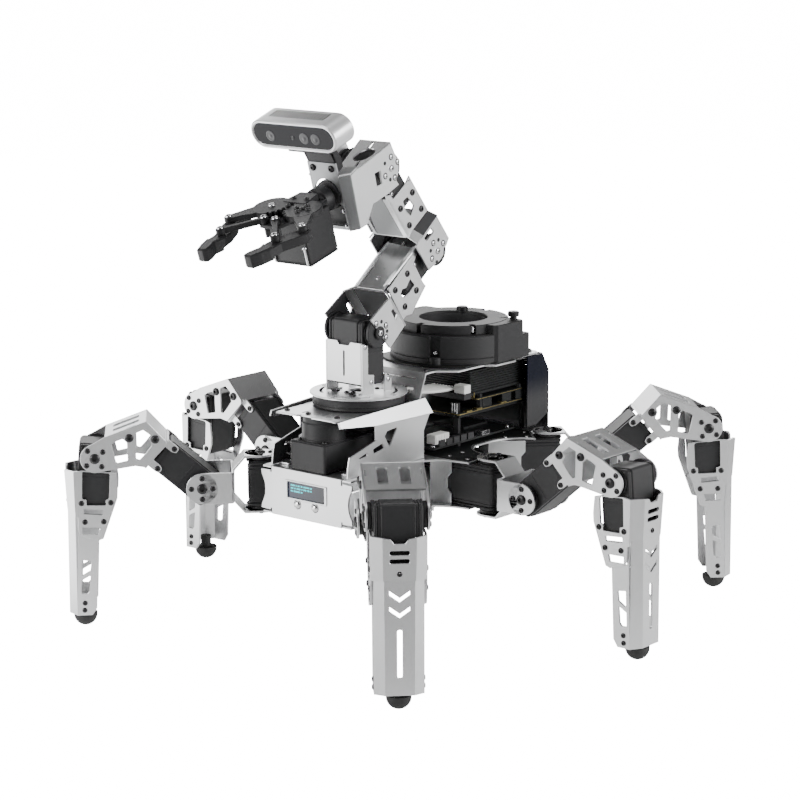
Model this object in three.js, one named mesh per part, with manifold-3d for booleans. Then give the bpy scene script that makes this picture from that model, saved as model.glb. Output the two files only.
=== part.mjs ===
// Six-legged walking robot with a jointed arm, a depth camera and a two-finger gripper.
// Millimetres. +X is the robot's front, +Y its left, +Z up, and the feet stand on z = 0.
import * as THREE from 'three';
import { mergeVertices } from 'three/addons/utils/BufferGeometryUtils.js';
import Module from 'manifold-3d';

const wasm = await Module();
wasm.setup();

// ---------- driving dimensions ----------
const SHEET = 1.8;                 // bracket sheet
const PLATE = 1.5;                 // chassis and deck sheet
const GAP = 0.3;                   // between pieces that touch
const RAD = Math.PI / 180;

const SERVO = { width: 26.4, toFarEnd: 42.5, toNearEnd: 10, half: 17.5, hornR: 10, hornReach: 21.3 };
const FORK_OUT = 23.4;             // outer face of a leg bracket, from the leg's middle plane
const FORK_IN = FORK_OUT - SHEET;
const JOINT_Z = 114.7;             // height of the leg servos
const FEMUR_AXIS_OUT = 46.8;       // yaw axis to femur axis
const KNEE = { out: 83.6, up: 26.4 };
const SHANK_TILT = 4.6 * RAD;      // shank leans out by this much
const FOOT = { down: 140.9, out: 11.3, r: 9.5, flatR: 3 };
const SERVO_RISE = 41 * RAD;       // the femur servo's long side above level

const LEGS = [
  { name: 'front_left', x: 105.5, y: 64, turn: 45 },
  { name: 'middle_left', x: 0, y: 88.5, turn: 90 },
  { name: 'rear_left', x: -105.5, y: 64, turn: 135 },
  { name: 'rear_right', x: -105.5, y: -64, turn: 225 },
  { name: 'middle_right', x: 0, y: -88.5, turn: 270 },
  { name: 'front_right', x: 105.5, y: -64, turn: 315 },
];

const CHASSIS = { lowZ: 95.4, highTop: 134.1, endX: 120.3, halfY: 45.6 };
const PANEL = { x: 120.6, halfY: 46.6 };
const DECK = { top: 178.6, frontX: 122, wallX: 26, halfY: 36 };
const REAR = { top: 200.2, frontX: 13.7, endX: -118, halfY: 46.6 };
const SKIRT_Y = 40;
const TABLE = { x: 58.8, z: 188.2, r: 38.9 };
const HOUSING_R = 36.6;           // bearing housing under the turntable
const DRUM = { x: -60.6, r: 49, ringR: 45, holeR: 28.1, stepZ: 226.5, top: 232.2 };

const SHOULDER = { x: 61.3, z: 238.8 };
const ELBOW = { x: -10.1, z: 294.9 };
const WRIST = { x: 46.7, z: 366.3 };
const ARM_OUT = 24.4;              // outer face of an arm bracket
const ARM_IN = ARM_OUT - SHEET;
const GRIP = { x: 139.4, z: 341.8, pitch: 17.3 * RAD, gearY: 15.6, gearR: 15.4 };
const LINK = { forward: 25.6, out: 22, half: 2.2 };
const FOLLOWER = { x: 20.6, y: 5.8 };
const TIP = { low: -10.6, high: -2.6 };
const CAMERA = { x: 132.8, z: 396.9, pitch: 20.7 * RAD, half: 43, halfH: 11.7, depth: 24 };

// ---------- materials ----------
const material = (color, roughness, metalness) =>
  new THREE.MeshStandardMaterial({ color, roughness, metalness });
const ALUMINIUM = material(0xc4c6c8, 0.35, 0.9);
const BLACK_PLASTIC = material(0x1c1c1d, 0.5, 0);
const BLACK_METAL = material(0x202122, 0.4, 0.5);
const RUBBER = material(0x121212, 0.9, 0);
const BUTTON = material(0xd0d0d0, 0.25, 1);

// ---------- solids ----------
function solidOf(geometry) {
  const bare = new THREE.BufferGeometry();
  bare.setAttribute('position', geometry.getAttribute('position').clone());
  if (geometry.index) bare.setIndex(geometry.index.clone());
  const merged = mergeVertices(bare, 1e-4);
  return new wasm.Manifold(new wasm.Mesh({
    numProp: 3,
    vertProperties: Float32Array.from(merged.getAttribute('position').array),
    triVerts: Uint32Array.from(merged.index.array),
  }));
}

function geometryOf(solid) {
  const mesh = solid.getMesh();
  const geometry = new THREE.BufferGeometry();
  geometry.setAttribute('position', new THREE.BufferAttribute(Float32Array.from(mesh.vertProperties), 3));
  geometry.setIndex(new THREE.BufferAttribute(Uint32Array.from(mesh.triVerts), 1));
  geometry.computeVertexNormals();
  return geometry;
}

const join = (pieces) => pieces.map(solidOf).reduce((a, b) => a.add(b));

function build(pieces, cutters = []) {
  let body = join(pieces);
  for (const cutter of cutters) body = body.subtract(solidOf(cutter));
  return geometryOf(body);
}

function shapeOf(points) {
  return new THREE.Shape(points.map(([a, b]) => new THREE.Vector2(a, b)));
}

function extrude(shape, depth) {
  return new THREE.ExtrudeGeometry(shape, { depth, bevelEnabled: false, curveSegments: 5 });
}

// An outline in X and Y, between two heights.
function slabXY(outline, z0, z1) {
  const shape = outline instanceof THREE.Shape ? outline : shapeOf(outline);
  return extrude(shape, z1 - z0).translate(0, 0, z0);
}

// An outline in X and Z, between two places along Y.
function slabXZ(outline, y0, y1) {
  return extrude(shapeOf(outline), y1 - y0).rotateX(Math.PI / 2).translate(0, y1, 0);
}

// The same outline on both sides of the middle plane.
const pairXZ = (outline, inner, outer) => [
  slabXZ(outline, inner, outer),
  slabXZ(outline, -outer, -inner),
];

function block(x0, x1, y0, y1, z0, z1) {
  return new THREE.BoxGeometry(x1 - x0, y1 - y0, z1 - z0)
    .translate((x0 + x1) / 2, (y0 + y1) / 2, (z0 + z1) / 2);
}

function rodY(x, z, r, y0, y1, sides = 20) {
  return new THREE.CylinderGeometry(r, r, y1 - y0, sides).translate(x, (y0 + y1) / 2, z);
}

const pairRodY = (x, z, r, inner, outer) => [
  rodY(x, z, r, inner, outer),
  rodY(x, z, r, -outer, -inner),
];

function rodZ(x, y, r, z0, z1, sides = 24) {
  return new THREE.CylinderGeometry(r, r, z1 - z0, sides)
    .rotateX(Math.PI / 2)
    .translate(x, y, (z0 + z1) / 2);
}

// A prism between two sections with the same number of points; both lie in X and Y.
function loft(lowOutline, lowZ, highOutline, highZ) {
  const count = lowOutline.length;
  const vertices = [];
  for (const [x, y] of lowOutline) vertices.push(x, y, lowZ);
  for (const [x, y] of highOutline) vertices.push(x, y, highZ);
  const index = [];
  const flat = lowOutline.map(([x, y]) => new THREE.Vector2(x, y));
  for (const [a, b, c] of THREE.ShapeUtils.triangulateShape(flat, [])) {
    index.push(a, c, b, a + count, b + count, c + count);
  }
  for (let i = 0; i < count; i += 1) {
    const j = (i + 1) % count;
    index.push(i, j, j + count, i, j + count, i + count);
  }
  const geometry = new THREE.BufferGeometry();
  geometry.setAttribute('position', new THREE.Float32BufferAttribute(vertices, 3));
  geometry.setIndex(index);
  return geometry;
}

// A servo whose shaft lies along Z at the origin and whose long side runs along -X.
function servoPieces(hornReach = SERVO.hornReach) {
  const w = SERVO.width / 2;
  const c = 2.5;
  const near = SERVO.toNearEnd;
  const far = -SERVO.toFarEnd;
  const outline = [
    [near - c, -w], [near, c - w], [near, w - c], [near - c, w],
    [far + c, w], [far, w - c], [far, c - w], [far + c, -w],
  ];
  return [
    slabXY(outline, -SERVO.half, SERVO.half),
    rodZ(0, 0, SERVO.hornR, -hornReach, hornReach, 20),
  ];
}

// The same servo with its shaft along Y, its long side at an angle above +X, at a place.
function servoAcross(x, z, angle, hornReach) {
  return servoPieces(hornReach).map((piece) =>
    piece.rotateX(Math.PI / 2).rotateY(Math.PI - angle).translate(x, 0, z));
}

const robot = new THREE.Group();

function add(parent, name, geometry, look) {
  const mesh = new THREE.Mesh(geometry, look);
  mesh.name = name;
  parent.add(mesh);
  return mesh;
}

// ---------- legs ----------
function coxaBracket() {
  const half = 12.5;
  const webOut = 22.6;
  const bend = 13;
  const yawFork = [
    [0, FORK_OUT], [bend, FORK_OUT], [webOut, half], [webOut, -half], [bend, -FORK_OUT], [0, -FORK_OUT],
    [0, -FORK_IN], [bend - 0.7, -FORK_IN], [webOut - SHEET, 0.7 - half],
    [webOut - SHEET, half - 0.7], [bend - 0.7, FORK_IN], [0, FORK_IN],
  ];
  const femurFork = [
    [webOut - 1, -FORK_OUT], [FEMUR_AXIS_OUT, -FORK_OUT], [FEMUR_AXIS_OUT, -FORK_IN],
    [webOut + 0.8, -FORK_IN], [webOut + 0.8, FORK_IN], [FEMUR_AXIS_OUT, FORK_IN],
    [FEMUR_AXIS_OUT, FORK_OUT], [webOut - 1, FORK_OUT],
  ];
  const lift = (piece) => piece.translate(0, 0, JOINT_Z);
  return build([
    lift(slabXZ(yawFork, -half, half)),
    lift(rodZ(0, 0, half, FORK_IN, FORK_OUT)),
    lift(rodZ(0, 0, half, -FORK_OUT, -FORK_IN)),
    lift(slabXY(femurFork, -half, half)),
    ...pairRodY(FEMUR_AXIS_OUT, 0, half, FORK_IN, FORK_OUT).map(lift),
  ]);
}

function femurBracket() {
  const rearLow = [27.4, 39.1];
  const apex = [42.5, 55.6];
  const kneeTop = [75.7, 43.4];
  const seatHigh = [25.2, 38.6];
  const seatLow = [43.8, 17.2];
  const side = [
    rearLow, apex, kneeTop, [KNEE.out, KNEE.up + 11.4], [KNEE.out, KNEE.up - 11.4],
    [75.7, 16.3], [52, 19.9], [44, 18.5], [27.2, 35.8],
  ];
  const nearWindow = [[51.5, 46.1], [45.2, 48.7], [39.6, 44.3], [38.6, 36.3], [48.5, 24.8], [51.1, 25.7]];
  const farWindow = [[70.2, 37.9], [65.9, 40.3], [61.2, 41.9], [58.2, 38.9], [57.8, 24.3], [66.7, 22.4]];
  const topPlate = [apex, [42.9, 53.5], [75.1, 41.6], kneeTop];
  const rearPlate = [rearLow, [28.7, 37.9], [43.8, 54.4], apex];
  const seatPlate = [seatHigh, seatLow, [45.2, 18.4], [26.6, 39.8]];
  const ear = (side1) => {
    const along = (d, p) => [
      d * Math.cos(SERVO_RISE) + p * Math.sin(SERVO_RISE),
      d * Math.sin(SERVO_RISE) - p * Math.cos(SERVO_RISE),
    ];
    return [along(33, side1 * 6.5), along(33, side1 * 12.8), along(45, side1 * 12.8), along(45, side1 * 6.5)];
  };
  const cut = (outline) => slabXZ(outline, -30, 30);
  const geometry = build([
    ...pairXZ(side, FORK_IN, FORK_OUT),
    ...pairRodY(KNEE.out, KNEE.up, 11.4, FORK_IN, FORK_OUT),
    slabXZ(topPlate, -FORK_IN - 0.5, FORK_IN + 0.5),
    slabXZ(rearPlate, -FORK_IN - 0.5, FORK_IN + 0.5),
    slabXZ(seatPlate, -FORK_IN - 0.5, FORK_IN + 0.5),
    ...pairXZ(ear(1), SERVO.half + GAP, SERVO.half + GAP + 1.5),
    ...pairXZ(ear(-1), SERVO.half + GAP, SERVO.half + GAP + 1.5),
  ], [cut(nearWindow), cut(farWindow)]);
  return geometry.translate(FEMUR_AXIS_OUT, 0, JOINT_Z);
}

// A channel open at the back whose front edge has bevelled corners; sizes at its two ends.
function channel(low, lowZ, high, highZ, wall) {
  const section = ({ bend, front, half, frontHalf }, inset) => [
    [-40, -half + inset], [bend - 0.4 * inset, -half + inset], [front - inset, -frontHalf + 0.4 * inset],
    [front - inset, frontHalf - 0.4 * inset], [bend - 0.4 * inset, half - inset], [-40, half - inset],
  ];
  const outer = solidOf(loft(section(low, 0), lowZ, section(high, 0), highZ));
  const inner = solidOf(loft(section(low, wall), lowZ - 1e-2, section(high, wall), highZ + 1e-2));
  const backEnd = solidOf(block(-60, -30, -60, 60, lowZ - 5, highZ + 5));
  return outer.subtract(inner).subtract(backEnd);
}

// The shank with its servo; knee axis at the origin, X outward, Z up along the shank.
function tibiaShell() {
  const collar = channel(
    { bend: 12.6, front: 18.7, half: 20.6, frontHalf: 11.8 }, -49,
    { bend: 16.2, front: 23.7, half: 20.6, frontHalf: 12.4 }, -11, 2.2,
  );
  const lower = channel(
    { bend: 6.6, front: 13.1, half: 18.5, frontHalf: 10.6 }, -129.8,
    { bend: 13, front: 19.2, half: 18.5, frontHalf: 11.3 }, -44.7, SHEET,
  );
  const outline = [
    [30, -10], [-12.2, -10.8], [-17.3, -11.8], [-19.5, -24.7], [-19.6, -31.4], [-10.5, -64.9],
    [-6.4, -66.9], [-8.4, -122.6], [-5.1, -128.7], [6.6, -129.8], [30, -130],
  ];
  const servoWindow = [[9.2, -13.9], [-12, -12.6], [-13, -32.2], [-10.6, -33.3], [8.2, -33.6]];
  const screwBosses = [8.5, -10.6].map((x) => rodY(x, -37.2, 2.2, -19.5, 19.5, 10));
  return geometryOf(collar.add(lower)
    .intersect(solidOf(slabXZ(outline, -30, 30)))
    .subtract(solidOf(slabXZ(servoWindow, -30, 30)))
    .add(join([...servoAcross(0, 0, -Math.PI / 2, SERVO.hornReach), ...screwBosses])));
}

function foot() {
  const centre = Math.sqrt(FOOT.r ** 2 - FOOT.flatR ** 2);
  const profile = [new THREE.Vector2(0, 0)];
  const start = Math.asin(FOOT.flatR / FOOT.r);
  const steps = 6;
  for (let i = 0; i <= steps; i += 1) {
    const angle = start + (Math.PI / 2 - start) * (i / steps);
    profile.push(new THREE.Vector2(FOOT.r * Math.sin(angle), centre - FOOT.r * Math.cos(angle)));
  }
  profile.push(new THREE.Vector2(FOOT.r, centre + 1.4));
  profile.push(new THREE.Vector2(4.5, centre + 1.4));
  profile.push(new THREE.Vector2(4.5, 20));
  profile.push(new THREE.Vector2(0, 20));
  return new THREE.LatheGeometry(profile, 16).rotateX(Math.PI / 2);
}

for (const leg of LEGS) {
  const group = new THREE.Group();
  group.position.set(leg.x, leg.y, 0);
  group.rotation.z = leg.turn * RAD;
  robot.add(group);
  const yawServo = build(servoPieces().map((piece) => piece.translate(0, 0, JOINT_Z)));
  const femurServo = build(servoAcross(FEMUR_AXIS_OUT, JOINT_Z, SERVO_RISE));
  add(group, `${leg.name}_coxa_servo`, yawServo, BLACK_PLASTIC);
  add(group, `${leg.name}_coxa_bracket`, coxaBracket(), ALUMINIUM);
  add(group, `${leg.name}_femur_servo`, femurServo, BLACK_PLASTIC);
  add(group, `${leg.name}_femur_bracket`, femurBracket(), ALUMINIUM);
  const kneeX = FEMUR_AXIS_OUT + KNEE.out;
  const kneeZ = JOINT_Z + KNEE.up;
  const shank = add(group, `${leg.name}_tibia_shell`, tibiaShell(), ALUMINIUM);
  shank.position.set(kneeX, 0, kneeZ);
  shank.rotation.y = -SHANK_TILT;
  const tip = add(group, `${leg.name}_foot`, foot(), RUBBER);
  tip.position.set(kneeX + FOOT.out, 0, kneeZ - FOOT.down - 0.2);
}

// ---------- chassis ----------
// A quarter of the plate's edge, from its end on +X to the middle of its +Y side.
function chassisQuarter() {
  const { endX, halfY } = CHASSIS;
  const waistY = 43;
  const curve = (from, bend, to) => new THREE.QuadraticBezierCurve(
    new THREE.Vector2(...from), new THREE.Vector2(...bend), new THREE.Vector2(...to),
  ).getPoints(5).map((point) => [point.x, point.y]);
  return [
    [endX, halfY], [106.9, halfY],
    ...curve([87.1, 65.4], [76, waistY], [56, waistY]),
    ...curve([36, waistY], [17, 50], [15, 76.5]),
  ];
}

function chassisOutline() {
  const quarter = chassisQuarter();
  const mirrored = (sx, sy) => quarter.map(([x, y]) => [sx * x, sy * y]);
  return [
    ...quarter, ...mirrored(-1, 1).reverse(), ...mirrored(-1, -1), ...mirrored(1, -1).reverse(),
  ];
}

function chassisLower() {
  const { lowZ, highTop, endX, halfY } = CHASSIS;
  const top = highTop - PLATE - GAP;
  const side = SERVO.width / 2 + GAP;
  const pieces = [
    slabXY(chassisOutline(), lowZ, lowZ + PLATE),
    block(-endX, -endX + PLATE, -halfY, halfY, lowZ, top),
  ];
  for (const sx of [-1, 1]) {
    for (const sy of [-1, 1]) {
      const xs = [sx * side, sx * (side + PLATE)].sort((a, b) => a - b);
      const ys = [sy * 48, sy * 62].sort((a, b) => a - b);
      pieces.push(block(xs[0], xs[1], ys[0], ys[1], lowZ, top));
    }
  }
  return build(pieces);
}

add(robot, 'chassis_lower_plate', chassisLower(), ALUMINIUM);
add(robot, 'chassis_upper_plate',
  build([slabXY(chassisOutline(), CHASSIS.highTop - PLATE, CHASSIS.highTop)]), ALUMINIUM);

const BUTTON_Y = 9.1;
const BUTTON_Z = 107.2;

function frontPanel() {
  const h = PANEL.halfY;
  const outline = [
    [-h, 97], [-37, 95.4], [37, 95.4], [h, 97], [h, 103], [h - 3, 107], [h - 3, 121], [h, 125],
    [h, 131.6], [37, 134.1], [-37, 134.1], [-h, 131.6], [-h, 125], [3 - h, 121], [3 - h, 107], [-h, 103],
  ];
  const sheet = extrude(shapeOf(outline), PLATE);
  const toFront = new THREE.Matrix4().makeBasis(
    new THREE.Vector3(0, 1, 0), new THREE.Vector3(0, 0, 1), new THREE.Vector3(1, 0, 0),
  );
  sheet.applyMatrix4(toFront).translate(PANEL.x, 0, 0);
  const hole = (y) => new THREE.CylinderGeometry(3.6, 3.6, 6, 16)
    .rotateZ(Math.PI / 2)
    .translate(PANEL.x, y, BUTTON_Z);
  return build([sheet], [hole(BUTTON_Y), hole(-BUTTON_Y)]);
}

function button(y) {
  const profile = [[0, 0], [3.2, 0], [3.2, 2.6], [2.6, 3.8], [1.4, 4.5], [0, 4.7]];
  return new THREE.LatheGeometry(profile.map(([r, z]) => new THREE.Vector2(r, z)), 14)
    .rotateZ(-Math.PI / 2)
    .translate(PANEL.x - 1.2, y, BUTTON_Z);
}

add(robot, 'front_panel', frontPanel(), ALUMINIUM);
add(robot, 'button_left', button(BUTTON_Y), BUTTON);
add(robot, 'button_right', button(-BUTTON_Y), BUTTON);

// ---------- deck, turntable, drum, electronics ----------
function rearDeckOutline() {
  const { frontX, endX, halfY } = REAR;
  const edge = [
    [frontX, 31.5], [2.7, 31.5], [-9, halfY], [-41.7, halfY], [-48, 54.4], [-73.3, 54.4],
    [-83.5, 47.4], [endX, 47.4],
  ];
  return [...edge, ...edge.map(([x, y]) => [x, -y]).reverse()];
}

function armDeck() {
  const deck = [
    [DECK.wallX, -38], [DECK.frontX - 40, -38], [DECK.frontX, -34],
    [DECK.frontX, 34], [DECK.frontX - 40, 38], [DECK.wallX, 38],
  ];
  const wall = [
    [DECK.wallX, DECK.top], [REAR.frontX, REAR.top], [REAR.frontX - PLATE, REAR.top],
    [DECK.wallX - PLATE, DECK.top], [DECK.wallX - PLATE, DECK.top - PLATE], [DECK.wallX, DECK.top - PLATE],
  ];
  const skirt = [
    [18.7, 170], [26.2, 157], [26.2, 134.4], [118, 134.4], [118, 142], [114, 151], [85, 158.5], [85, 170],
  ];
  const windows = [
    [[73.9, 160.3], [68.3, 151], [58.8, 165.2], [71.3, 163.9]],
    [[87.9, 152.4], [86.9, 148.8], [75, 150.8], [77, 155.3]],
  ];
  const chamfer = (sign) => {
    const section = [
      [sign * 37, DECK.top - PLATE], [sign * 37, DECK.top], [sign * 38.5, DECK.top + 1.5],
      [sign * SKIRT_Y, 170.5], [sign * SKIRT_Y, 169], [sign * (SKIRT_Y - PLATE), 169],
    ];
    if (sign < 0) section.reverse();
    const toRear = new THREE.Matrix4().makeBasis(
      new THREE.Vector3(0, 1, 0), new THREE.Vector3(0, 0, 1), new THREE.Vector3(1, 0, 0),
    );
    return extrude(shapeOf(section), DECK.frontX - 40 - 20).applyMatrix4(toRear).translate(20, 0, 0);
  };
  return build([
    slabXY(deck, DECK.top - PLATE, DECK.top),
    slabXZ(wall, -33, 33),
    slabXY(rearDeckOutline(), REAR.top - PLATE, REAR.top),
    ...pairXZ(skirt, SKIRT_Y - PLATE, SKIRT_Y),
    chamfer(1),
    chamfer(-1),
  ], [
    ...windows.map((outline) => slabXZ(outline, -60, 60)),
    rodZ(TABLE.x, 0, 13, DECK.top - 6, DECK.top + 2),
    rodZ(TABLE.x, 0, HOUSING_R + 0.5, DECK.top + 0.02, TABLE.z, 32),
    rodZ(TABLE.x, 0, TABLE.r + 0.5, TABLE.z - 1, TABLE.z + PLATE + 0.6, 40),
  ]);
}

add(robot, 'arm_deck', armDeck(), ALUMINIUM);

// Drive unit under the deck, with the bearing housing that carries the turntable.
function armYawDrive() {
  return build([
    block(46, 119.8, -17.4, 17.4, CHASSIS.highTop + GAP, 157),
    rodZ(100, 0, 15.2, 156, DECK.top - PLATE - GAP),
    rodZ(TABLE.x, 0, 12.4, 156, DECK.top + 2),
    rodZ(TABLE.x, 0, HOUSING_R, DECK.top + GAP + 0.2, TABLE.z - GAP, 32),
  ]);
}

add(robot, 'arm_yaw_drive', armYawDrive(), BLACK_PLASTIC);

function sensorDrum() {
  const side = [
    [-48.9, 200.5], [-90.5, 200.5], [-90.5, 220], [-83.5, 220], [-83.5, DRUM.top], [-48.9, DRUM.top],
  ];
  return build([
    rodZ(DRUM.x, 0, DRUM.r, REAR.top + GAP, DRUM.stepZ, 36),
    rodZ(DRUM.x, 0, DRUM.ringR, DRUM.stepZ - 1, DRUM.top, 36),
    slabXZ(side, -53.5, 53.5),
    rodZ(-84, 44, 4.6, DRUM.stepZ, 240, 12),
    rodZ(-86, -30, 4.6, 215, 240, 12),
    rodZ(-84, 44, 3, 215, 239, 12),
  ], [rodZ(DRUM.x, 0, DRUM.holeR, 206, DRUM.top + 2, 32)]);
}

add(robot, 'sensor_drum', sensorDrum(), BLACK_PLASTIC);

function electronicsStack() {
  const side = [
    [-100.5, 197.8], [-122, 197.8], [-129.6, 184], [-129.6, 146.5], [-113, 138.5], [-100.5, 138.5],
  ];
  const posts = [];
  for (const x of [-112, -24]) {
    for (const y of [-33, 33]) posts.push(rodZ(x, y, 3, CHASSIS.highTop + GAP, 166, 10));
  }
  for (const x of [-98, -46]) {
    for (const y of [-33, 33]) posts.push(rodZ(x, y, 2.5, 162, 175, 10));
  }
  const boardLow = CHASSIS.highTop + 4.4;
  return build([
    block(-92, 16, -41, 41, boardLow, boardLow + 1.6),
    block(-128.5, -17, -41.4, 41.4, 161.3, 163),
    block(-110, -40.5, -41.3, 41.3, 170.3, 172),
    block(-101, -35, -38, 38, 174, 194),
    block(-8, 2, 8, 33, 172.5, 181),
    block(-36, -6, 12, 28, 173, 180),
    block(-120, -101, -45.6, 45.6, 161.3, 163),
    block(-130.4, -128.4, -46.4, 46.4, 146.5, 184),
    ...pairXZ(side, 44.9, 46.4),
    ...posts,
  ]);
}

add(robot, 'electronics_stack', electronicsStack(), BLACK_PLASTIC);

// ---------- arm ----------
function turntable() {
  const flange = [[76.2, 231], [69.5, 229.5], [69.5, 206], [62.4, 205], [62.4, TABLE.z], [76.2, TABLE.z]];
  const rearTab = [[41.3, TABLE.z], [49.5, TABLE.z], [49.5, 205], [41.3, 199]];
  const inner = SERVO.half + GAP;
  return build([
    rodZ(TABLE.x, 0, TABLE.r, TABLE.z, TABLE.z + PLATE, 40),
    block(74.8, 76.3, -inner - PLATE, inner + PLATE, 194, 231.5),
    ...pairXZ(flange, inner, inner + PLATE),
    ...pairXZ(rearTab, inner, inner + PLATE),
  ], [block(70, 80, -0.8, 0.8, 204, 224), block(70, 80, -6, 6, 228.5, 235)]);
}

const armServo = (x, z, towardX, towardZ) =>
  build(servoAcross(x, z, Math.atan2(towardZ, towardX), ARM_IN - GAP));

add(robot, 'turntable', turntable(), ALUMINIUM);
add(robot, 'shoulder_servo', armServo(SHOULDER.x, SHOULDER.z, 0, -1), BLACK_PLASTIC);

function armLink(forkOutline, axis, cheekOutline, bridgeOutline) {
  const cheekIn = SERVO.half + GAP;
  return build([
    ...pairXZ(forkOutline, ARM_IN, ARM_OUT),
    ...pairRodY(axis.x, axis.z, 12.5, ARM_IN, ARM_OUT),
    ...pairXZ(cheekOutline, cheekIn, cheekIn + PLATE),
    slabXZ(bridgeOutline, -ARM_IN - 0.5, ARM_IN + 0.5),
  ]);
}

const upperFork = [[68, 250.6], [49.7, 264.4], [31.2, 239.9], [48.7, 226], [62, 228]];
const upperCheek = [
  [44.6, 270.7], [30.2, 284.3], [19, 281], [-2.5, 267.8], [16, 249.7], [23.5, 245.8], [31.2, 241],
];
const upperBridge = [[49.7, 264.4], [31.2, 239.9], [29.8, 241], [48.3, 265.5]];
add(robot, 'upper_arm_bracket', armLink(upperFork, SHOULDER, upperCheek, upperBridge), ALUMINIUM);
add(robot, 'elbow_servo',
  armServo(ELBOW.x, ELBOW.z, SHOULDER.x - ELBOW.x, SHOULDER.z - ELBOW.z), BLACK_PLASTIC);

const foreFork = [[9, 300], [28.4, 311.3], [4.3, 329.7], [-12, 320], [-22, 300]];
const foreCheek = [
  [42, 343], [20.1, 309.7], [-4.6, 328.1], [25.9, 368.2], [34, 362],
];
const foreBridge = [[28.4, 311.3], [4.3, 329.7], [5.4, 331.1], [29.5, 312.7]];
add(robot, 'forearm_bracket', armLink(foreFork, ELBOW, foreCheek, foreBridge), ALUMINIUM);
add(robot, 'wrist_servo',
  armServo(WRIST.x, WRIST.z, ELBOW.x - WRIST.x, ELBOW.z - WRIST.z), BLACK_PLASTIC);

function wristBox() {
  const side = [
    [47.5, 386.8], [86.7, 370], [95.9, 364], [87.6, 323.4], [75.5, 325.4], [68.1, 340.7],
    [52, 347], [40, 358], [37.2, 370], [42, 380],
  ];
  const top = [[47.5, 386.8], [86.7, 370], [95.9, 364], [95.3, 362.2], [86, 368.2], [46.8, 385.1]];
  const frontX = (z) => 88.6 + 0.2056 * (z - 323);
  const frontSlab = (low, high) => [
    [frontX(low), low], [frontX(high), high], [frontX(high) - SHEET, high], [frontX(low) - SHEET, low],
  ];
  return build([
    ...pairXZ(side, ARM_IN, ARM_OUT),
    ...pairRodY(WRIST.x, WRIST.z, 12.5, ARM_IN, ARM_OUT),
    slabXZ(top, -ARM_IN - 0.5, ARM_IN + 0.5),
    slabXZ(frontSlab(362, 376.5), -16, 16),
    slabXZ(frontSlab(323, 364.6), -ARM_IN - 0.5, ARM_IN + 0.5),
  ], [
    rodY(60.5, 360, 4, -30, 30, 8),
    slabXZ([[80, 340], [100, 340], [100, 322], [80, 322]], -14, 14),
  ]);
}

add(robot, 'wrist_box', wristBox(), ALUMINIUM);

function stadium(half, halfHeight) {
  const shape = new THREE.Shape();
  const straight = half - halfHeight;
  shape.absarc(straight, 0, halfHeight, -Math.PI / 2, Math.PI / 2);
  shape.absarc(-straight, 0, halfHeight, Math.PI / 2, Math.PI * 1.5);
  return shape;
}

function depthCamera() {
  const body = new THREE.ExtrudeGeometry(stadium(CAMERA.half, CAMERA.halfH),
    { depth: CAMERA.depth, bevelEnabled: false, curveSegments: 8 });
  const facing = new THREE.Matrix4().makeBasis(
    new THREE.Vector3(0, 1, 0), new THREE.Vector3(0, 0, 1), new THREE.Vector3(1, 0, 0),
  );
  body.applyMatrix4(facing).translate(-CAMERA.depth, 0, 0);
  body.rotateY(CAMERA.pitch).translate(CAMERA.x, 0, CAMERA.z);
  const upright = [[100.2, 364.5], [102, 364.2], [109.5, 394], [107, 395]];
  const shelf = [[106, 391], [124, 384.6], [126, 388.5], [107, 396]];
  return build([body, slabXZ(upright, -14, 14), slabXZ(shelf, -14, 14)]);
}

add(robot, 'depth_camera', depthCamera(), ALUMINIUM);

// ---------- gripper: X forward along the roll axis, Y left, Z up, origin between the gears ----------
const gripper = new THREE.Group();
gripper.position.set(GRIP.x, 0, GRIP.z);
gripper.rotation.y = GRIP.pitch;
robot.add(gripper);

function gripperPalm() {
  const axisZ = -8;
  const plate = [[-30, -14], [-14, -19], [8, -19], [26, -10], [26, 10], [8, 19], [-14, 19], [-30, 14]];
  return build([
    new THREE.CylinderGeometry(11, 11, 16, 24).rotateZ(Math.PI / 2).translate(-35, 0, axisZ),
    block(-30, -24, -14, 14, -20, -4),
    slabXY(plate, -5.6, -2.6),
    block(-26, 7, -18.5, 18.5, -42.8, -5),
  ]);
}

// The straight bar between two pivots.
function bar(start, end, half) {
  const dx = end[0] - start[0];
  const dy = end[1] - start[1];
  const length = Math.hypot(dx, dy);
  const nx = -dy / length * half;
  const ny = dx / length * half;
  const outline = [
    [start[0] - nx, start[1] - ny], [end[0] - nx, end[1] - ny],
    [end[0] + nx, end[1] + ny], [start[0] + nx, start[1] + ny],
  ];
  return slabXY(outline, -LINK.half, LINK.half);
}

function driveLink(side) {
  const start = [0, side * GRIP.gearY];
  const end = [LINK.forward, side * (GRIP.gearY + LINK.out)];
  const endR = 5;
  return build([
    rodZ(...start, GRIP.gearR, -LINK.half, LINK.half, 30),
    bar(start, end, endR),
    rodZ(...end, endR, -LINK.half, LINK.half, 16),
  ]);
}

function followerLink(side) {
  const start = [FOLLOWER.x, side * FOLLOWER.y];
  const end = [FOLLOWER.x + LINK.forward, side * (FOLLOWER.y + LINK.out)];
  const endR = 4;
  return build([
    rodZ(...start, endR, -LINK.half, LINK.half, 14),
    bar(start, end, endR - 1),
    rodZ(...end, endR, -LINK.half, LINK.half, 14),
  ]);
}

function fingertip(side) {
  const outline = [
    [22, 33], [42, 22.5], [52, 20], [62, 21], [77, 15.5], [79, 24], [62, 31.5], [48, 33.5], [28, 43], [21, 41],
  ];
  const points = outline.map(([x, y]) => [x, side * y]);
  if (side < 0) points.reverse();
  return build([slabXY(points, TIP.low, TIP.high)]);
}

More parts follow.
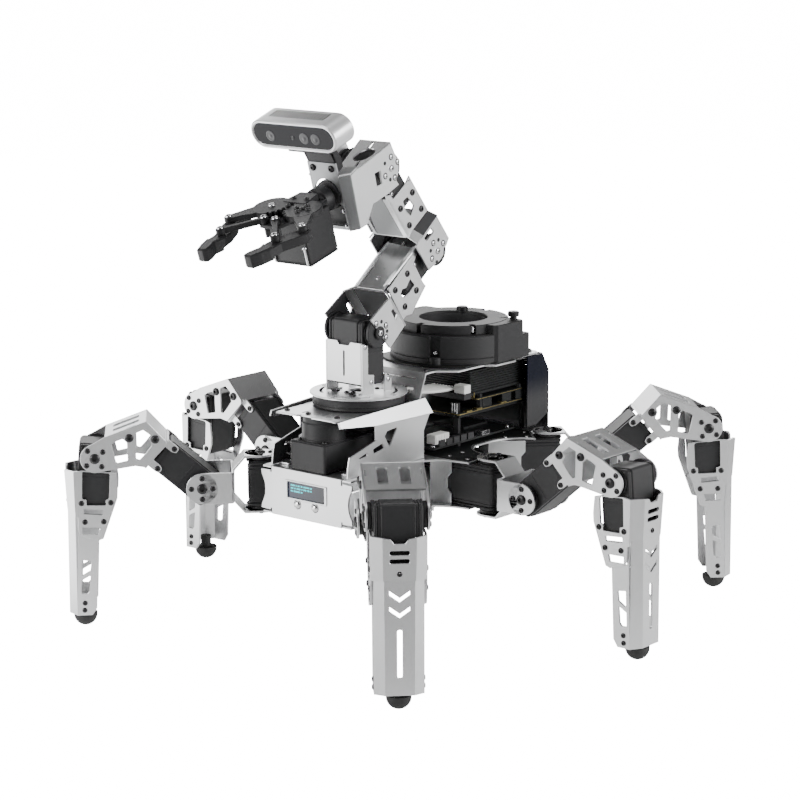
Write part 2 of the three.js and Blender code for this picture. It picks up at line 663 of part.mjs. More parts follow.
add(gripper, 'gripper_palm', gripperPalm(), BLACK_METAL);
add(gripper, 'left_drive_link', driveLink(1), BLACK_METAL);
add(gripper, 'right_drive_link', driveLink(-1), BLACK_METAL);
add(gripper, 'left_follower_link', followerLink(1), BLACK_METAL);
add(gripper, 'right_follower_link', followerLink(-1), BLACK_METAL);
add(gripper, 'left_fingertip', fingertip(1), BLACK_METAL);
add(gripper, 'right_fingertip', fingertip(-1), BLACK_METAL);

export default robot;
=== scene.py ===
"""Looks of a six-legged walking robot with an arm, a gripper, a depth camera and a round sensor.

Shapes are written in millimetres in the robot's frame: X forward, Y left, Z up, feet on z = 0.
A shape is a pair (vertices, faces) of closed shells; piece() turns it into an object in metres.
"""
import math

import bpy
from mathutils import Matrix, Vector
from mathutils.geometry import tessellate_polygon


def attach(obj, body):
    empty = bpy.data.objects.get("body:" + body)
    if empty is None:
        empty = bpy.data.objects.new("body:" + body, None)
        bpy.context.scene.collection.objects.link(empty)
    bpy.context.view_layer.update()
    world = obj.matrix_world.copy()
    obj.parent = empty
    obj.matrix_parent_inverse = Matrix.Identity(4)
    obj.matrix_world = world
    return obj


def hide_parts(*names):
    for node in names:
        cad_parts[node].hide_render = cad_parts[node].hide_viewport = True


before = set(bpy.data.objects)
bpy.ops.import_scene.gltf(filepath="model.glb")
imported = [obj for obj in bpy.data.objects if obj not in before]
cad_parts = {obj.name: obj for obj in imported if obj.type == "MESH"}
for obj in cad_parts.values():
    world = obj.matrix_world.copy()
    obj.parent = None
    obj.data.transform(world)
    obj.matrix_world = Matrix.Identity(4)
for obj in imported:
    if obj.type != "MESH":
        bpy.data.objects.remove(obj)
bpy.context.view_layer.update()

MM = 0.001
SHEET = 1.8
PLATE = 1.5
FORK_OUT = 23.4
FORK_IN = FORK_OUT - SHEET
JOINT_Z = 114.7
FEMUR_AXIS_OUT = 46.8
KNEE = (FEMUR_AXIS_OUT + 83.6, JOINT_Z + 26.4)
SHANK_TILT = math.radians(4.6)
SERVO_RISE = math.radians(41)
SERVO_HALF = 17.5
LEGS = {
    "front_left": (105.5, 64, 45), "middle_left": (0, 88.5, 90), "rear_left": (-105.5, 64, 135),
    "rear_right": (-105.5, -64, 225), "middle_right": (0, -88.5, 270), "front_right": (105.5, -64, 315),
}
SHOULDER = (61.3, 238.8)
ELBOW = (-10.1, 294.9)
WRIST = (46.7, 366.3)
ARM_OUT = 24.4
ARM_IN = ARM_OUT - SHEET
CHEEK_IN = SERVO_HALF + 0.3
CHEEK_OUT = CHEEK_IN + PLATE


# ---------------------------------------------------------------- shapes
def polar(r, degrees, x=0.0, y=0.0):
    """The point at a distance and an angle from a centre."""
    angle = math.radians(degrees)
    return (x + r * math.cos(angle), y + r * math.sin(angle))


def circle(r, x=0.0, y=0.0, sides=32):
    step = 2 * math.pi / sides
    return [(x + r * math.cos(i * step), y + r * math.sin(i * step)) for i in range(sides)]


def rect(x0, x1, y0, y1):
    return [(x0, y0), (x1, y0), (x1, y1), (x0, y1)]


def curve(start, corner, end, steps):
    """Points from start to end along an arc that leans towards the corner."""
    a, b, c = Vector(start), Vector(corner), Vector(end)
    shares = [k / steps for k in range(steps + 1)]
    return [tuple(a * (1 - t) ** 2 + b * 2 * t * (1 - t) + c * t ** 2) for t in shares]


def rounded(points, radius, steps=4):
    """The outline with each corner turned into an arc, but for corners that are nearly straight."""
    out = []
    count = len(points)
    for i, corner in enumerate(points):
        here = Vector(corner)
        back = Vector(points[i - 1]) - here
        ahead = Vector(points[(i + 1) % count]) - here
        angle = back.angle(ahead)
        if angle > math.radians(172):
            out.append(tuple(here))
            continue
        room = min(back.length, ahead.length) * 0.49
        reach = min(room, radius / math.tan(angle / 2))
        out += curve(here + back.normalized() * reach, here, here + ahead.normalized() * reach, steps)
    return out


def area(loop):
    return sum(a[0] * b[1] - b[0] * a[1] for a, b in zip(loop, loop[1:] + loop[:1])) / 2


def inset(loop, distance):
    """Each point moved towards the left of the way round, by the same distance from both its edges."""
    out = []
    count = len(loop)
    for i in range(count):
        a, b, c = Vector(loop[i - 1]), Vector(loop[i]), Vector(loop[(i + 1) % count])
        first = (b - a).normalized()
        second = (c - b).normalized()
        n1 = Vector((-first.y, first.x))
        n2 = Vector((-second.y, second.x))
        mitre = (n1 + n2) / max(0.35, 1 + n1.dot(n2))
        out.append(tuple(b + mitre * distance))
    return out


def slab(loops, low, high, chamfer=0.2):
    """A plate between two heights; the first loop is its outline, the others are holes."""
    loops = [list(loop) for loop in loops]
    for i, loop in enumerate(loops):
        if (area(loop) > 0) != (i == 0):
            loop.reverse()
    chamfer = min(chamfer, (high - low) * 0.4)
    tight = [inset(loop, chamfer) for loop in loops]
    verts, faces, starts = [], [], []
    for loop, small in zip(loops, tight):
        starts.append(len(verts))
        for ring, z in ((small, low), (loop, low + chamfer), (loop, high - chamfer), (small, high)):
            verts += [Vector((x, y, z)) for x, y in ring]
    flat = [[Vector((x, y, 0)) for x, y in loop] for loop in tight]
    places = [(k, i) for k, loop in enumerate(tight) for i in range(len(loop))]
    spots = [p for loop in tight for p in loop]
    for tri in tessellate_polygon(flat):
        (ax, ay), (bx, by), (cx, cy) = (spots[i] for i in tri)
        if (bx - ax) * (cy - ay) - (by - ay) * (cx - ax) < 0:
            tri = tuple(reversed(tri))
        top, bottom = [], []
        for i in tri:
            k, j = places[i]
            size = len(loops[k])
            top.append(starts[k] + 3 * size + j)
            bottom.append(starts[k] + j)
        faces.append(tuple(top))
        faces.append(tuple(reversed(bottom)))
    for start, loop in zip(starts, loops):
        size = len(loop)
        for level in range(3):
            a = start + level * size
            b = a + size
            for i in range(size):
                j = (i + 1) % size
                faces.append((a + i, a + j, b + j, b + i))
    return verts, faces


def moved(shape, matrix):
    verts, faces = shape
    verts = [matrix @ v for v in verts]
    if matrix.determinant() < 0:
        faces = [tuple(reversed(f)) for f in faces]
    return verts, faces


def joined(*shapes):
    verts, faces = [], []
    for part_verts, part_faces in shapes:
        base = len(verts)
        verts += part_verts
        faces += [tuple(base + i for i in f) for f in part_faces]
    return verts, faces


def shift(x=0.0, y=0.0, z=0.0):
    return Matrix.Translation((x, y, z))


def turn(axis, angle):
    return Matrix.Rotation(angle, 4, axis)


# STAND takes a plate drawn in X and Y to X and Z, and FACE takes it to Y and Z.
STAND = Matrix(((1, 0, 0, 0), (0, 0, -1, 0), (0, 1, 0, 0), (0, 0, 0, 1)))
FACE = Matrix(((0, 0, 1, 0), (1, 0, 0, 0), (0, 1, 0, 0), (0, 0, 0, 1)))


def wall(loops, y0, y1, chamfer=0.2):
    """A plate drawn in X and Z, between two places along Y."""
    return moved(slab(loops, -y1, -y0, chamfer), STAND)


def panel(loops, x0, x1, chamfer=0.2):
    """A plate drawn in Y and Z, between two places along X."""
    return moved(slab(loops, x0, x1, chamfer), FACE)


def side_wall(loops, side, inner, outer, chamfer=0.2):
    """A plate drawn in X and Z on one side, between two distances from the middle."""
    low, high = sorted((side * inner, side * outer))
    return wall(loops, low, high, chamfer)


def both(loops, inner, outer, chamfer=0.2):
    return joined(*[side_wall(loops, side, inner, outer, chamfer) for side in (1, -1)])


def block(x0, x1, y0, y1, z0, z1, chamfer=0.3, corner=0.0):
    outline = rect(x0, x1, y0, y1)
    if corner:
        outline = rounded(outline, corner)
    return slab([outline], z0, z1, chamfer)


def lathe(profile, sides=24):
    """Turned about Z; the profile runs up from the axis to the axis."""
    verts, faces, rings = [], [], []
    for r, z in profile:
        if r < 1e-6:
            rings.append([len(verts)])
            verts.append(Vector((0, 0, z)))
        else:
            rings.append(list(range(len(verts), len(verts) + sides)))
            verts += [Vector((x, y, z)) for x, y in circle(r, sides=sides)]
    for low, high in zip(rings, rings[1:]):
        for i in range(sides):
            j = (i + 1) % sides
            if len(low) == 1 and len(high) > 1:
                faces.append((low[0], high[j], high[i]))
            elif len(high) == 1 and len(low) > 1:
                faces.append((low[i], low[j], high[0]))
            elif len(low) > 1:
                faces.append((low[i], low[j], high[j], high[i]))
    return verts, faces


def rod(r, z0, z1, chamfer=0.3, sides=24):
    edge = [(r - chamfer, z0), (r, z0 + chamfer), (r, z1 - chamfer), (r - chamfer, z1)]
    return lathe([(0, z0), *edge, (0, z1)], sides)


def prism(low, high):
    """A closed shell between two rings of 3-D points, low first, that go round anticlockwise from outside."""
    count = len(low)
    verts = [Vector(p) for p in low] + [Vector(p) for p in high]
    faces = [tuple(reversed(range(count))), tuple(range(count, 2 * count))]
    for i in range(count):
        j = (i + 1) % count
        faces.append((i, j, count + j, count + i))
    return verts, faces


def cable(points, r):
    """An eight-sided tube along a smooth path through the points."""
    sides = 8
    path = []
    pts = [Vector(p) for p in points]
    padded = [pts[0]] + pts + [pts[-1]]
    for k in range(len(pts) - 1):
        a, b, c, d = padded[k:k + 4]
        for s in range(6):
            t = s / 6
            path.append(0.5 * ((2 * b) + (c - a) * t + (2 * a - 5 * b + 4 * c - d) * t * t
                               + (3 * b - a - 3 * c + d) * t ** 3))
    path.append(pts[-1])
    verts, faces = [], []
    normal = Vector((0.13, 0.27, 0.95))
    for i, point in enumerate(path):
        along = (path[min(i + 1, len(path) - 1)] - path[max(i - 1, 0)]).normalized()
        normal = (normal - along * normal.dot(along)).normalized()
        side = along.cross(normal)
        for x, y in circle(r, sides=sides):
            verts.append(point + normal * x + side * y)
    rings = len(path)
    for i in range(rings - 1):
        for k in range(sides):
            m = (k + 1) % sides
            a = i * sides
            faces.append((a + k, a + m, a + sides + m, a + sides + k))
    faces.append(tuple(reversed(range(sides))))
    faces.append(tuple(range((rings - 1) * sides, rings * sides)))
    return verts, faces


def screw(r, height=None):
    """A button head with a socket, seated on z = 0 and pointing up."""
    h = height or r * 0.55
    head = [(r, -0.3), (r, 0.15 * h), (0.93 * r, 0.55 * h), (0.72 * r, 0.9 * h), (0.5 * r, h)]
    socket = [(0.42 * r, h), (0.42 * r, 0.25 * h), (0, 0.25 * h)]
    return lathe([(0, -0.3), *head, *socket], 18)


def facing(place, normal):
    """The matrix that stands a shape's Z along a normal at a place."""
    return Matrix.Translation(place) @ Vector(normal).to_track_quat("Z", "Y").to_matrix().to_4x4()


def screws(places, r, normal, height=None):
    head = screw(r, height)
    return joined(*[moved(head, facing(place, normal)) for place in places])


def side_screws(spots, out, r, height=None):
    """Heads on both sides of a bracket, at (x, z) spots."""
    heads = []
    for side in (-1, 1):
        heads.append(screws([(x, side * out, z) for x, z in spots], r, (0, side, 0), height))
    return joined(*heads)


def axes(x, y, z, origin=(0, 0, 0)):
    """The matrix that lays a shape's X, Y and Z along three directions from an origin."""
    matrix = Matrix((x, y, z)).transposed().to_4x4()
    matrix.translation = origin
    return matrix


# ---------------------------------------------------------------- materials
def tree(name):
    material = bpy.data.materials.new(name)
    material.use_nodes = True
    nodes = material.node_tree.nodes
    return material, nodes, material.node_tree.links, nodes["Principled BSDF"]


def mapped(nodes, links, source, start, stop, before=0.0, after=1.0, smooth=True):
    """A value that goes from one level to another while its source goes from start to stop."""
    node = nodes.new("ShaderNodeMapRange")
    if smooth:
        node.interpolation_type = "SMOOTHSTEP"
    for name, value in (("From Min", start), ("From Max", stop), ("To Min", before), ("To Max", after)):
        node.inputs[name].default_value = value
    links.new(source, node.inputs["Value"])
    return node.outputs["Result"]


def graded(nodes, links, source, direction, start, stop, before=0.0, after=1.0, smooth=True):
    """The same, where the source is how far a vector reaches in a direction."""
    way = nodes.new("ShaderNodeVectorMath")
    way.operation = "DOT_PRODUCT"
    way.inputs[1].default_value = direction
    links.new(source, way.inputs[0])
    return mapped(nodes, links, way.outputs["Value"], start, stop, before, after, smooth)


def times(nodes, links, first, second):
    product = nodes.new("ShaderNodeMath")
    product.operation = "MULTIPLY"
    links.new(first, product.inputs[0])
    links.new(second, product.inputs[1])
    return product.outputs[0]


def mixed(nodes, links, share, low, high):
    """A colour between two others."""
    tone = nodes.new("ShaderNodeMix")
    tone.data_type = "RGBA"
    tone.inputs[6].default_value = (*low, 1)
    tone.inputs[7].default_value = (*high, 1)
    links.new(share, tone.inputs[0])
    return tone.outputs[2]


def noise(nodes, links, place, scale, detail):
    node = nodes.new("ShaderNodeTexNoise")
    node.inputs["Scale"].default_value = scale
    node.inputs["Detail"].default_value = detail
    links.new(place, node.inputs["Vector"])
    return node.outputs["Fac"]


BROAD_SCALE = 22
RELIEF_DEPTH = 0.0004


def grained(name, color, rough, metallic, grain, bump, mottle, shine=0.5):
    """A surface with fine grain in its bump, and a little change in tone and roughness over it."""
    material, nodes, links, surface = tree(name)
    surface.inputs["Metallic"].default_value = metallic
    surface.inputs["Specular IOR Level"].default_value = shine
    place = nodes.new("ShaderNodeTexCoord").outputs["Object"]
    fine = noise(nodes, links, place, grain, 3)
    broad = noise(nodes, links, place, BROAD_SCALE, 4)
    dark, light = ([min(1, c * (1 + sign * mottle)) for c in color] for sign in (-1, 1))
    links.new(mixed(nodes, links, broad, dark, light), surface.inputs["Base Color"])
    roughness = mapped(nodes, links, broad, 0, 1, rough * 0.88, min(1, rough * 1.12), smooth=False)
    links.new(roughness, surface.inputs["Roughness"])
    relief = nodes.new("ShaderNodeBump")
    relief.inputs["Strength"].default_value = bump
    relief.inputs["Distance"].default_value = RELIEF_DEPTH
    links.new(fine, relief.inputs["Height"])
    links.new(relief.outputs["Normal"], surface.inputs["Normal"])
    return material


def glowing(name, color, strength):
    material, _, _, surface = tree(name)
    surface.inputs["Base Color"].default_value = (*color, 1)
    surface.inputs["Emission Color"].default_value = (*color, 1)
    surface.inputs["Emission Strength"].default_value = strength
    return material


def two_toned(name, rough, shine, axis, ends, tones, smooth):
    """A plain surface whose colour goes from one tone to another between two places along an axis."""
    material, nodes, links, surface = tree(name)
    surface.inputs["Roughness"].default_value = rough
    surface.inputs["Specular IOR Level"].default_value = shine
    place = nodes.new("ShaderNodeTexCoord").outputs["Object"]
    share = graded(nodes, links, place, axis, *ends, smooth=smooth)
    links.new(mixed(nodes, links, share, *tones), surface.inputs["Base Color"])
    return material


def drawn_look():
    """Each recipe: name, colour, roughness, metallic, grain, bump, mottle and, if it isn't 0.5, shine."""
    recipes = {
        "aluminium_sheet": ("satin_aluminium", (0.70, 0.705, 0.71), 0.36, 1.0, 1400, 0.05, 0.03),
        # A darker copy of the satin aluminium: painted shade for the forearm web and the wrist's front faces.
        "dull_sheet": ("dull_aluminium", (0.26, 0.265, 0.27), 0.42, 1.0, 1400, 0.05, 0.03),
        "servo_black": ("servo_plastic", (0.020, 0.020, 0.021), 0.46, 0.0, 1600, 0.10, 0.15, 0.33),
        "drum_black": ("drum_plastic", (0.026, 0.026, 0.027), 0.50, 0.0, 1500, 0.10, 0.15, 0.25),
        "black_metal": ("black_anodised", (0.014, 0.014, 0.015), 0.42, 0.0, 1500, 0.06, 0.12, 0.27),
        "foot_rubber": ("foot_rubber", (0.010, 0.010, 0.010), 0.62, 0.0, 900, 0.25, 0.2),
        "button_metal": ("button_steel", (0.80, 0.80, 0.80), 0.16, 1.0, 1800, 0.02, 0.03),
        "camera_silver": ("camera_shell", (0.80, 0.80, 0.81), 0.30, 0.6, 1800, 0.04, 0.03),
        "screw_black": ("black_oxide", (0.012, 0.012, 0.013), 0.35, 0.0, 1500, 0.05, 0.1, 0.45),
        "screw_silver": ("plated_steel", (0.72, 0.72, 0.73), 0.22, 1.0, 1500, 0.03, 0.04),
        "board_black": ("circuit_board", (0.008, 0.009, 0.009), 0.45, 0.0, 500, 0.15, 0.3, 0.25),
        "gold_contact": ("gold_plate", (0.30, 0.25, 0.11), 0.35, 1.0, 900, 0.05, 0.1),
        # Flat black for the camera's vent slots: painted shade where the openings would be.
        "void_black": ("dark_opening", (0.003, 0.003, 0.003), 0.9, 0.0, 900, 0.0, 0.1, 0.0),
        # Near-black sheets on the inner faces of forks and skirts: painted shade.
        "lining_dark": ("shaded_aluminium", (0.055, 0.055, 0.057), 0.5, 0.0, 1400, 0.05, 0.1, 0.25),
        "lens_core": ("lens_core", (0.035, 0.035, 0.038), 0.30, 0.0, 900, 0.02, 0.1),
        "lens_glass": ("black_window", (0.006, 0.006, 0.008), 0.06, 0.0, 300, 0.0, 0.1, 0.12),
        "lens_ring": ("lens_ring", (0.022, 0.022, 0.024), 0.35, 0.0, 900, 0.02, 0.1),
        "connector_white": ("white_connector", (0.72, 0.72, 0.70), 0.45, 0.0, 900, 0.05, 0.04),
    }
    looks = {look: grained(*recipe) for look, recipe in recipes.items()}
    looks["display_glow"] = glowing("lit_marks", (0.03, 0.55, 0.60), 0.9)
    blue_to_black = ((0.012, 0.02, 0.05), (0.003, 0.004, 0.01))
    grey_to_blue = ((0.05, 0.05, 0.052), (0.002, 0.003, 0.010))
    across, upward, span = (0, 1, 0), (0, 0, 1), (-0.02, 0.02)
    looks["display_glass"] = two_toned("display_glass", 0.08, 0.5, across, span, blue_to_black, False)
    looks["cover_smoked"] = two_toned("smoked_cover", 0.3, 0.15, upward, (0.155, 0.182), grey_to_blue, True)
    return looks


LOOKS = drawn_look()


# ---------------------------------------------------------------- pieces
def mesh_of(name, shape, look):
    verts, faces = shape
    mesh = bpy.data.meshes.new(name)
    mesh.from_pydata([v * MM for v in verts], [], faces)
    mesh.validate()
    mesh.polygons.foreach_set("use_smooth", [True] * len(mesh.polygons))
    mesh.set_sharp_from_angle(angle=math.radians(31))
    mesh.materials.append(LOOKS[look])
    return mesh


def piece(name, body, shape, look, replaces=()):
    obj = bpy.data.objects.new(name, mesh_of(name, shape, look))
    bpy.context.scene.collection.objects.link(obj)
    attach(obj, body)
    if replaces:
        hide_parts(*replaces)


# ---------------------------------------------------------------- servo
def servo():
    """Shaft along Z at the origin, long side along +X."""
    body = slab([rounded(rect(-10, 42.5, -13.2, 13.2), 3.2)], -12.6, 12.6, 0.7)
    parts = [body]
    for side in (-1, 1):
        flip = Matrix.Identity(4) if side > 0 else turn("X", math.pi)
        cover = slab([rounded(rect(-9.3, 41.8, -12.5, 12.5), 3.6)], 12.4, 15.0, 0.5)
        lid = slab([rounded(rect(-9.7, 42.2, -12.9, 12.9), 3.6)], 15.2, SERVO_HALF, 0.6)
        boss = rod(11.4, SERVO_HALF - 0.5, 18.6, 0.4, 32)
        horn = rod(10.0, 18.8, 21.3, 0.4, 32)
        neck = rod(7.0, 18.0, 19.4, 0.2, 24)
        ribs = [block(x, x + 1.0, -11, 11, SERVO_HALF - 0.4, SERVO_HALF + 0.25, 0.1) for x in (16, 37.5)]
        corner_screws = [
            moved(screw(1.5, 0.7), shift(x, y, SERVO_HALF - 0.1)) for x in (-6.6, 39.2) for y in (-9.8, 9.8)
        ]
        parts += [moved(p, flip) for p in (cover, lid, boss, neck, horn, *ribs, *corner_screws)]
    return joined(*parts)


SERVO = servo()


def servo_across(x, z, angle):
    """The servo with its shaft along Y and its long side at an angle above +X."""
    return moved(SERVO, shift(x, 0, z) @ turn("Y", -angle) @ turn("X", math.pi / 2))


# ---------------------------------------------------------------- leg
HORN_HEAD = 4.2
HORN_SCREW = 2.25
HORN_RING = 8.4


def horn_screws(x, z, start):
    """One large and four small heads on each side of a leg's fork, round an axis along Y."""
    ring = [polar(HORN_RING, start + 90 * k, x, z) for k in range(4)]
    return joined(side_screws([(x, z)], FORK_OUT, HORN_HEAD, 2.0), side_screws(ring, FORK_OUT, HORN_SCREW))


def flipped(half):
    """The other half of an outline that is the same on both sides, in the opposite order."""
    return [(x, -y) for x, y in reversed(half)]


def coxa_bracket():
    half = 12.5
    web = 22.6
    far = FEMUR_AXIS_OUT
    fork_half = [(0, FORK_OUT), (13, FORK_OUT), (web, half)]
    inner_half = [(web - SHEET, half - 0.7), (12.3, FORK_IN), (0, FORK_IN)]
    fork = [*fork_half, *flipped(fork_half), *flipped(inner_half), *inner_half]
    plan_half = [(web + 0.8, FORK_IN - 0.6), (web + 1.4, FORK_IN), (far, FORK_IN), (far, FORK_OUT),
                 (web + 0.6, FORK_OUT), (web - 1, FORK_OUT - 1.6)]
    plan = [*flipped(plan_half), *plan_half]
    shape = joined(
        wall([fork], -half, half),
        slab([circle(half)], FORK_IN, FORK_OUT),
        slab([circle(half)], -FORK_OUT, -FORK_IN),
        slab([plan], -half, half),
        both([circle(half, FEMUR_AXIS_OUT, 0)], FORK_IN, FORK_OUT),
    )
    return moved(shape, shift(0, 0, JOINT_Z))


def coxa_screws():
    flat = []
    for side in (-1, 1):
        normal = (0, 0, side)
        ring = [(*polar(HORN_RING, 90 * k), side * FORK_OUT) for k in range(4)]
        flat.append(screws([(0, 0, side * FORK_OUT)], HORN_HEAD, normal, 2.0))
        flat.append(screws(ring, HORN_SCREW, normal))
    return joined(moved(joined(*flat), shift(0, 0, JOINT_Z)), horn_screws(FEMUR_AXIS_OUT, JOINT_Z, 0))


def along_servo(distance, across):
    c, s = math.cos(SERVO_RISE), math.sin(SERVO_RISE)
    return (distance * c + across * s, distance * s - across * c)


def femur_bracket():
    """Drawn from the femur axis: X out along the leg, Z up."""
    rear_low, apex, knee_top = (27.4, 39.1), (42.5, 55.6), (75.7, 43.4)
    knee = (83.6, 26.4)
    arc = [polar(11.4, 76 - k * 14, *knee) for k in range(13)]
    side = [rear_low, apex, knee_top, *arc, (75.7, 16.3), (52, 19.9), (44, 18.5), (27.2, 35.8)]
    near = rounded([(51.5, 46.1), (45.2, 48.7), (39.6, 44.3), (40.6, 40.9), (38.6, 36.3), (44.7, 28.7),
                    (48.5, 24.8), (51.1, 25.7)], 1.0)
    far = rounded([(70.2, 37.9), (65.9, 40.3), (61.2, 41.9), (58.2, 38.9), (57.8, 24.3), (66.7, 22.4)], 1.0)
    top = [rounded(rect(0.6, 35.2, -FORK_OUT + 0.4, FORK_OUT - 0.4), 0.8)]
    for y in (-8.3, 8.3):
        top.append(rounded(rect(6.5, 28.5, y - 4.0, y + 4.0), 1.4))
    for y in (-20.6, 20.6):
        top.append(rounded(rect(9, 17, y - 0.5, y + 0.5), 0.4))
    lean = math.atan2(knee_top[1] - apex[1], knee_top[0] - apex[0])
    lid = moved(slab(top, -SHEET, 0), shift(apex[0], 0, apex[1]) @ turn("Y", -lean))
    rear = wall([[rear_low, (28.7, 37.9), (43.8, 54.4), apex]], -FORK_IN - 0.5, FORK_IN + 0.5)
    seat = wall([[(25.2, 38.6), (43.8, 17.2), (45.2, 18.4), (26.6, 39.8)]], -FORK_IN, FORK_IN)
    parts = [both([side, near, far], FORK_IN, FORK_OUT), lid, rear, seat]
    for sign in (-1, 1):
        ear = [along_servo(46, sign * 7.0), along_servo(37, sign * 7.0), along_servo(33.6, sign * 8.6),
               along_servo(33.6, sign * 12.2), along_servo(37, sign * 13.2), along_servo(46, sign * 13.2)]
        parts.append(both([rounded(ear, 1.6)], SERVO_HALF + 0.35, SERVO_HALF + 2.0))
    return moved(joined(*parts), shift(FEMUR_AXIS_OUT, 0, JOINT_Z))


def femur_screws():
    ears = [along_servo(36.9, sign * 10.3) for sign in (-1, 1)]
    heads = joined(side_screws([(56.2, 42.5), (36.0, 41.0)], FORK_OUT, 3.4, 1.9),
                   side_screws(ears, SERVO_HALF + 2.0, 2.3))
    return joined(moved(heads, shift(FEMUR_AXIS_OUT, 0, JOINT_Z)), horn_screws(*KNEE, 50))


def strip(front, back):
    """The flat band between two edges of a bent sheet; each edge is a pair of 3-D points, top first."""
    (a, b), (c, d) = front, back
    a, b, c, d = (Vector(p) for p in (a, b, c, d))
    normal = (c - a).cross(b - a).normalized()
    if normal.x < 0:
        normal.negate()
    drop = normal * -SHEET
    ring = [a, b, d, c]
    if (b - a).cross(d - a).dot(normal) < 0:
        ring.reverse()
    return prism([p + drop for p in ring], ring)


def shank_front(top, bottom, half_top, half_bottom, holes, outline=None):
    """A front face between two heights, given as (x, z), with its holes in (across, down from the top)."""
    drop = math.hypot(top[0] - bottom[0], top[1] - bottom[1])
    lean = math.atan2(top[0] - bottom[0], top[1] - bottom[1])
    outline = outline or [(-half_bottom, -drop), (half_bottom, -drop), (half_top, 0), (-half_top, 0)]
    face = panel([outline, *holes], -SHEET, 0, 0.15)
    return moved(face, shift(top[0], 0, top[1]) @ turn("Y", lean))


def tibia_shell():
    """Drawn from the knee: X out, Z up along the shank."""
    collar_out, lower_out = 20.6, 18.4
    collar_side = [
        (16.2, -12.2), (9.2, -10.6), (-12.2, -10.8), (-17.3, -11.8), (-19.5, -24.7), (-19.6, -31.4),
        (-12.6, -57.3), (-10.5, -65.0), (-6.4, -66.9), (6.9, -63.6), (9.4, -60), (10.6, -49.2), (12.8, -48.4),
    ]
    lower_side = [
        (13.0, -46.0), (-12, -46.0), (-14.5, -50), (-10.4, -65.4), (-6.4, -66.9), (-8.5, -122.6),
        (-5.1, -128.7), (6.6, -129.8), (9.8, -65),
    ]
    window = [(9.2, -12.2), (8.4, -11.7), (-11.4, -11.7), (-12.6, -13.2), (-13, -32.2), (-10.6, -33.3),
              (-10.9, -37.9), (4.4, -38.8), (4.8, -34.4), (8.2, -33.6)]
    slot = rounded([(-8.8, -41.9), (6.5, -41.9), (6.5, -45.9), (-8.8, -45.9)], 0.8)
    port = rounded([(6.9, -56.9), (-7.4, -56.0), (-6.2, -61.6), (6.5, -62.3)], 0.6)
    bolt = [rounded([(-1.8, -84.5), (5.6, -84.0), (5.0, -96.8), (-1.4, -92.2)], 0.7),
            rounded([(-1.8, -96.2), (5.0, -100.8), (4.6, -111.8), (0.2, -111.8), (-1.6, -109.4)], 0.7)]
    collar = both([collar_side, rounded(window, 0.6), slot, port], collar_out - 1.9, collar_out)
    port_low = rounded([(8.4, -55.4), (-8.9, -54.6), (-7.6, -62.6), (8.0, -63.4)], 0.6)
    slot_low = rounded([(-10, -46.3), (7.6, -46.3), (7.6, -47.4), (-10, -47.4)], 0.3)
    lower = both([lower_side, port_low, slot_low, *bolt], lower_out - 1.9, lower_out)
    dip = [(-12.4, 0), (-6.6, -1.0), (-4.0, -4.4), (4.0, -4.4), (6.6, -1.0), (12.4, 0)]
    collar_top, collar_end = (23.7, -12.6), (19.4, -44.6)
    lower_top, lower_end = (19.2, -44.4), (13.1, -129.6)
    drop = 32.3
    slots = [rounded(rect(-7.2, 7.2, -z - 3.3, -z), 1.5) for z in (9.6, 15.8)]
    collar_front = shank_front(collar_top, collar_end, 12.4, 11.8, slots,
                               [(-11.8, -drop), (11.8, -drop), *reversed(dip)])
    chevrons = []
    for z in (7.2, 18.9):
        upper_edge = [(-7.5, -z), (0, -z - 5.4), (7.5, -z)]
        chevrons.append([*upper_edge, *[(y, v - 3.4) for y, v in reversed(upper_edge)]])
    long_slot = rounded(rect(-1.9, 1.9, -72.2, -36.2), 1.7)
    lower_front = shank_front(lower_top, lower_end, 11.2, 10.6, [*chevrons, long_slot])
    parts = [collar, lower, collar_front, lower_front]
    for s in (-1, 1):
        parts.append(strip(((23.7, s * 12.4, -12.6), (19.4, s * 11.8, -44.6)),
                           ((16.2, s * collar_out, -12.2), (13.1, s * collar_out, -44.6))))
        parts.append(strip(((19.2, s * 11.2, -44.4), (13.1, s * 10.6, -129.6)),
                           ((13.2, s * lower_out, -44.4), (6.6, s * lower_out, -129.6))))
    return joined(*parts)


def tibia_screws():
    return joined(
        side_screws([(8.5, -37.2), (-14.5, -35.3), (4.9, -52.2), (-9.8, -51.0)], 20.6, 2.3),
        side_screws([(1.3, -119.1), (1.2, -125.0)], 18.4, 2.1),
        screws([(19.9, 0, -39.2)], 2.1, (0.99, 0, 0.12)),
    )


def foot():
    """A rubber dome on a stem, standing on z = 0."""
    r, centre = 9.5, 9.01
    start = math.asin(3 / r)
    dome = [(r * math.sin(a), centre - r * math.cos(a))
            for a in [start + (math.pi / 2 - start) * i / 8 for i in range(9)]]
    rim = [(r, centre + 1.2), (r - 0.4, centre + 1.4)]
    stem = [(4.5, centre + 1.4), (4.5, 20), (0, 20)]
    return lathe([(0, 0), *dome, *rim, *stem], 28)


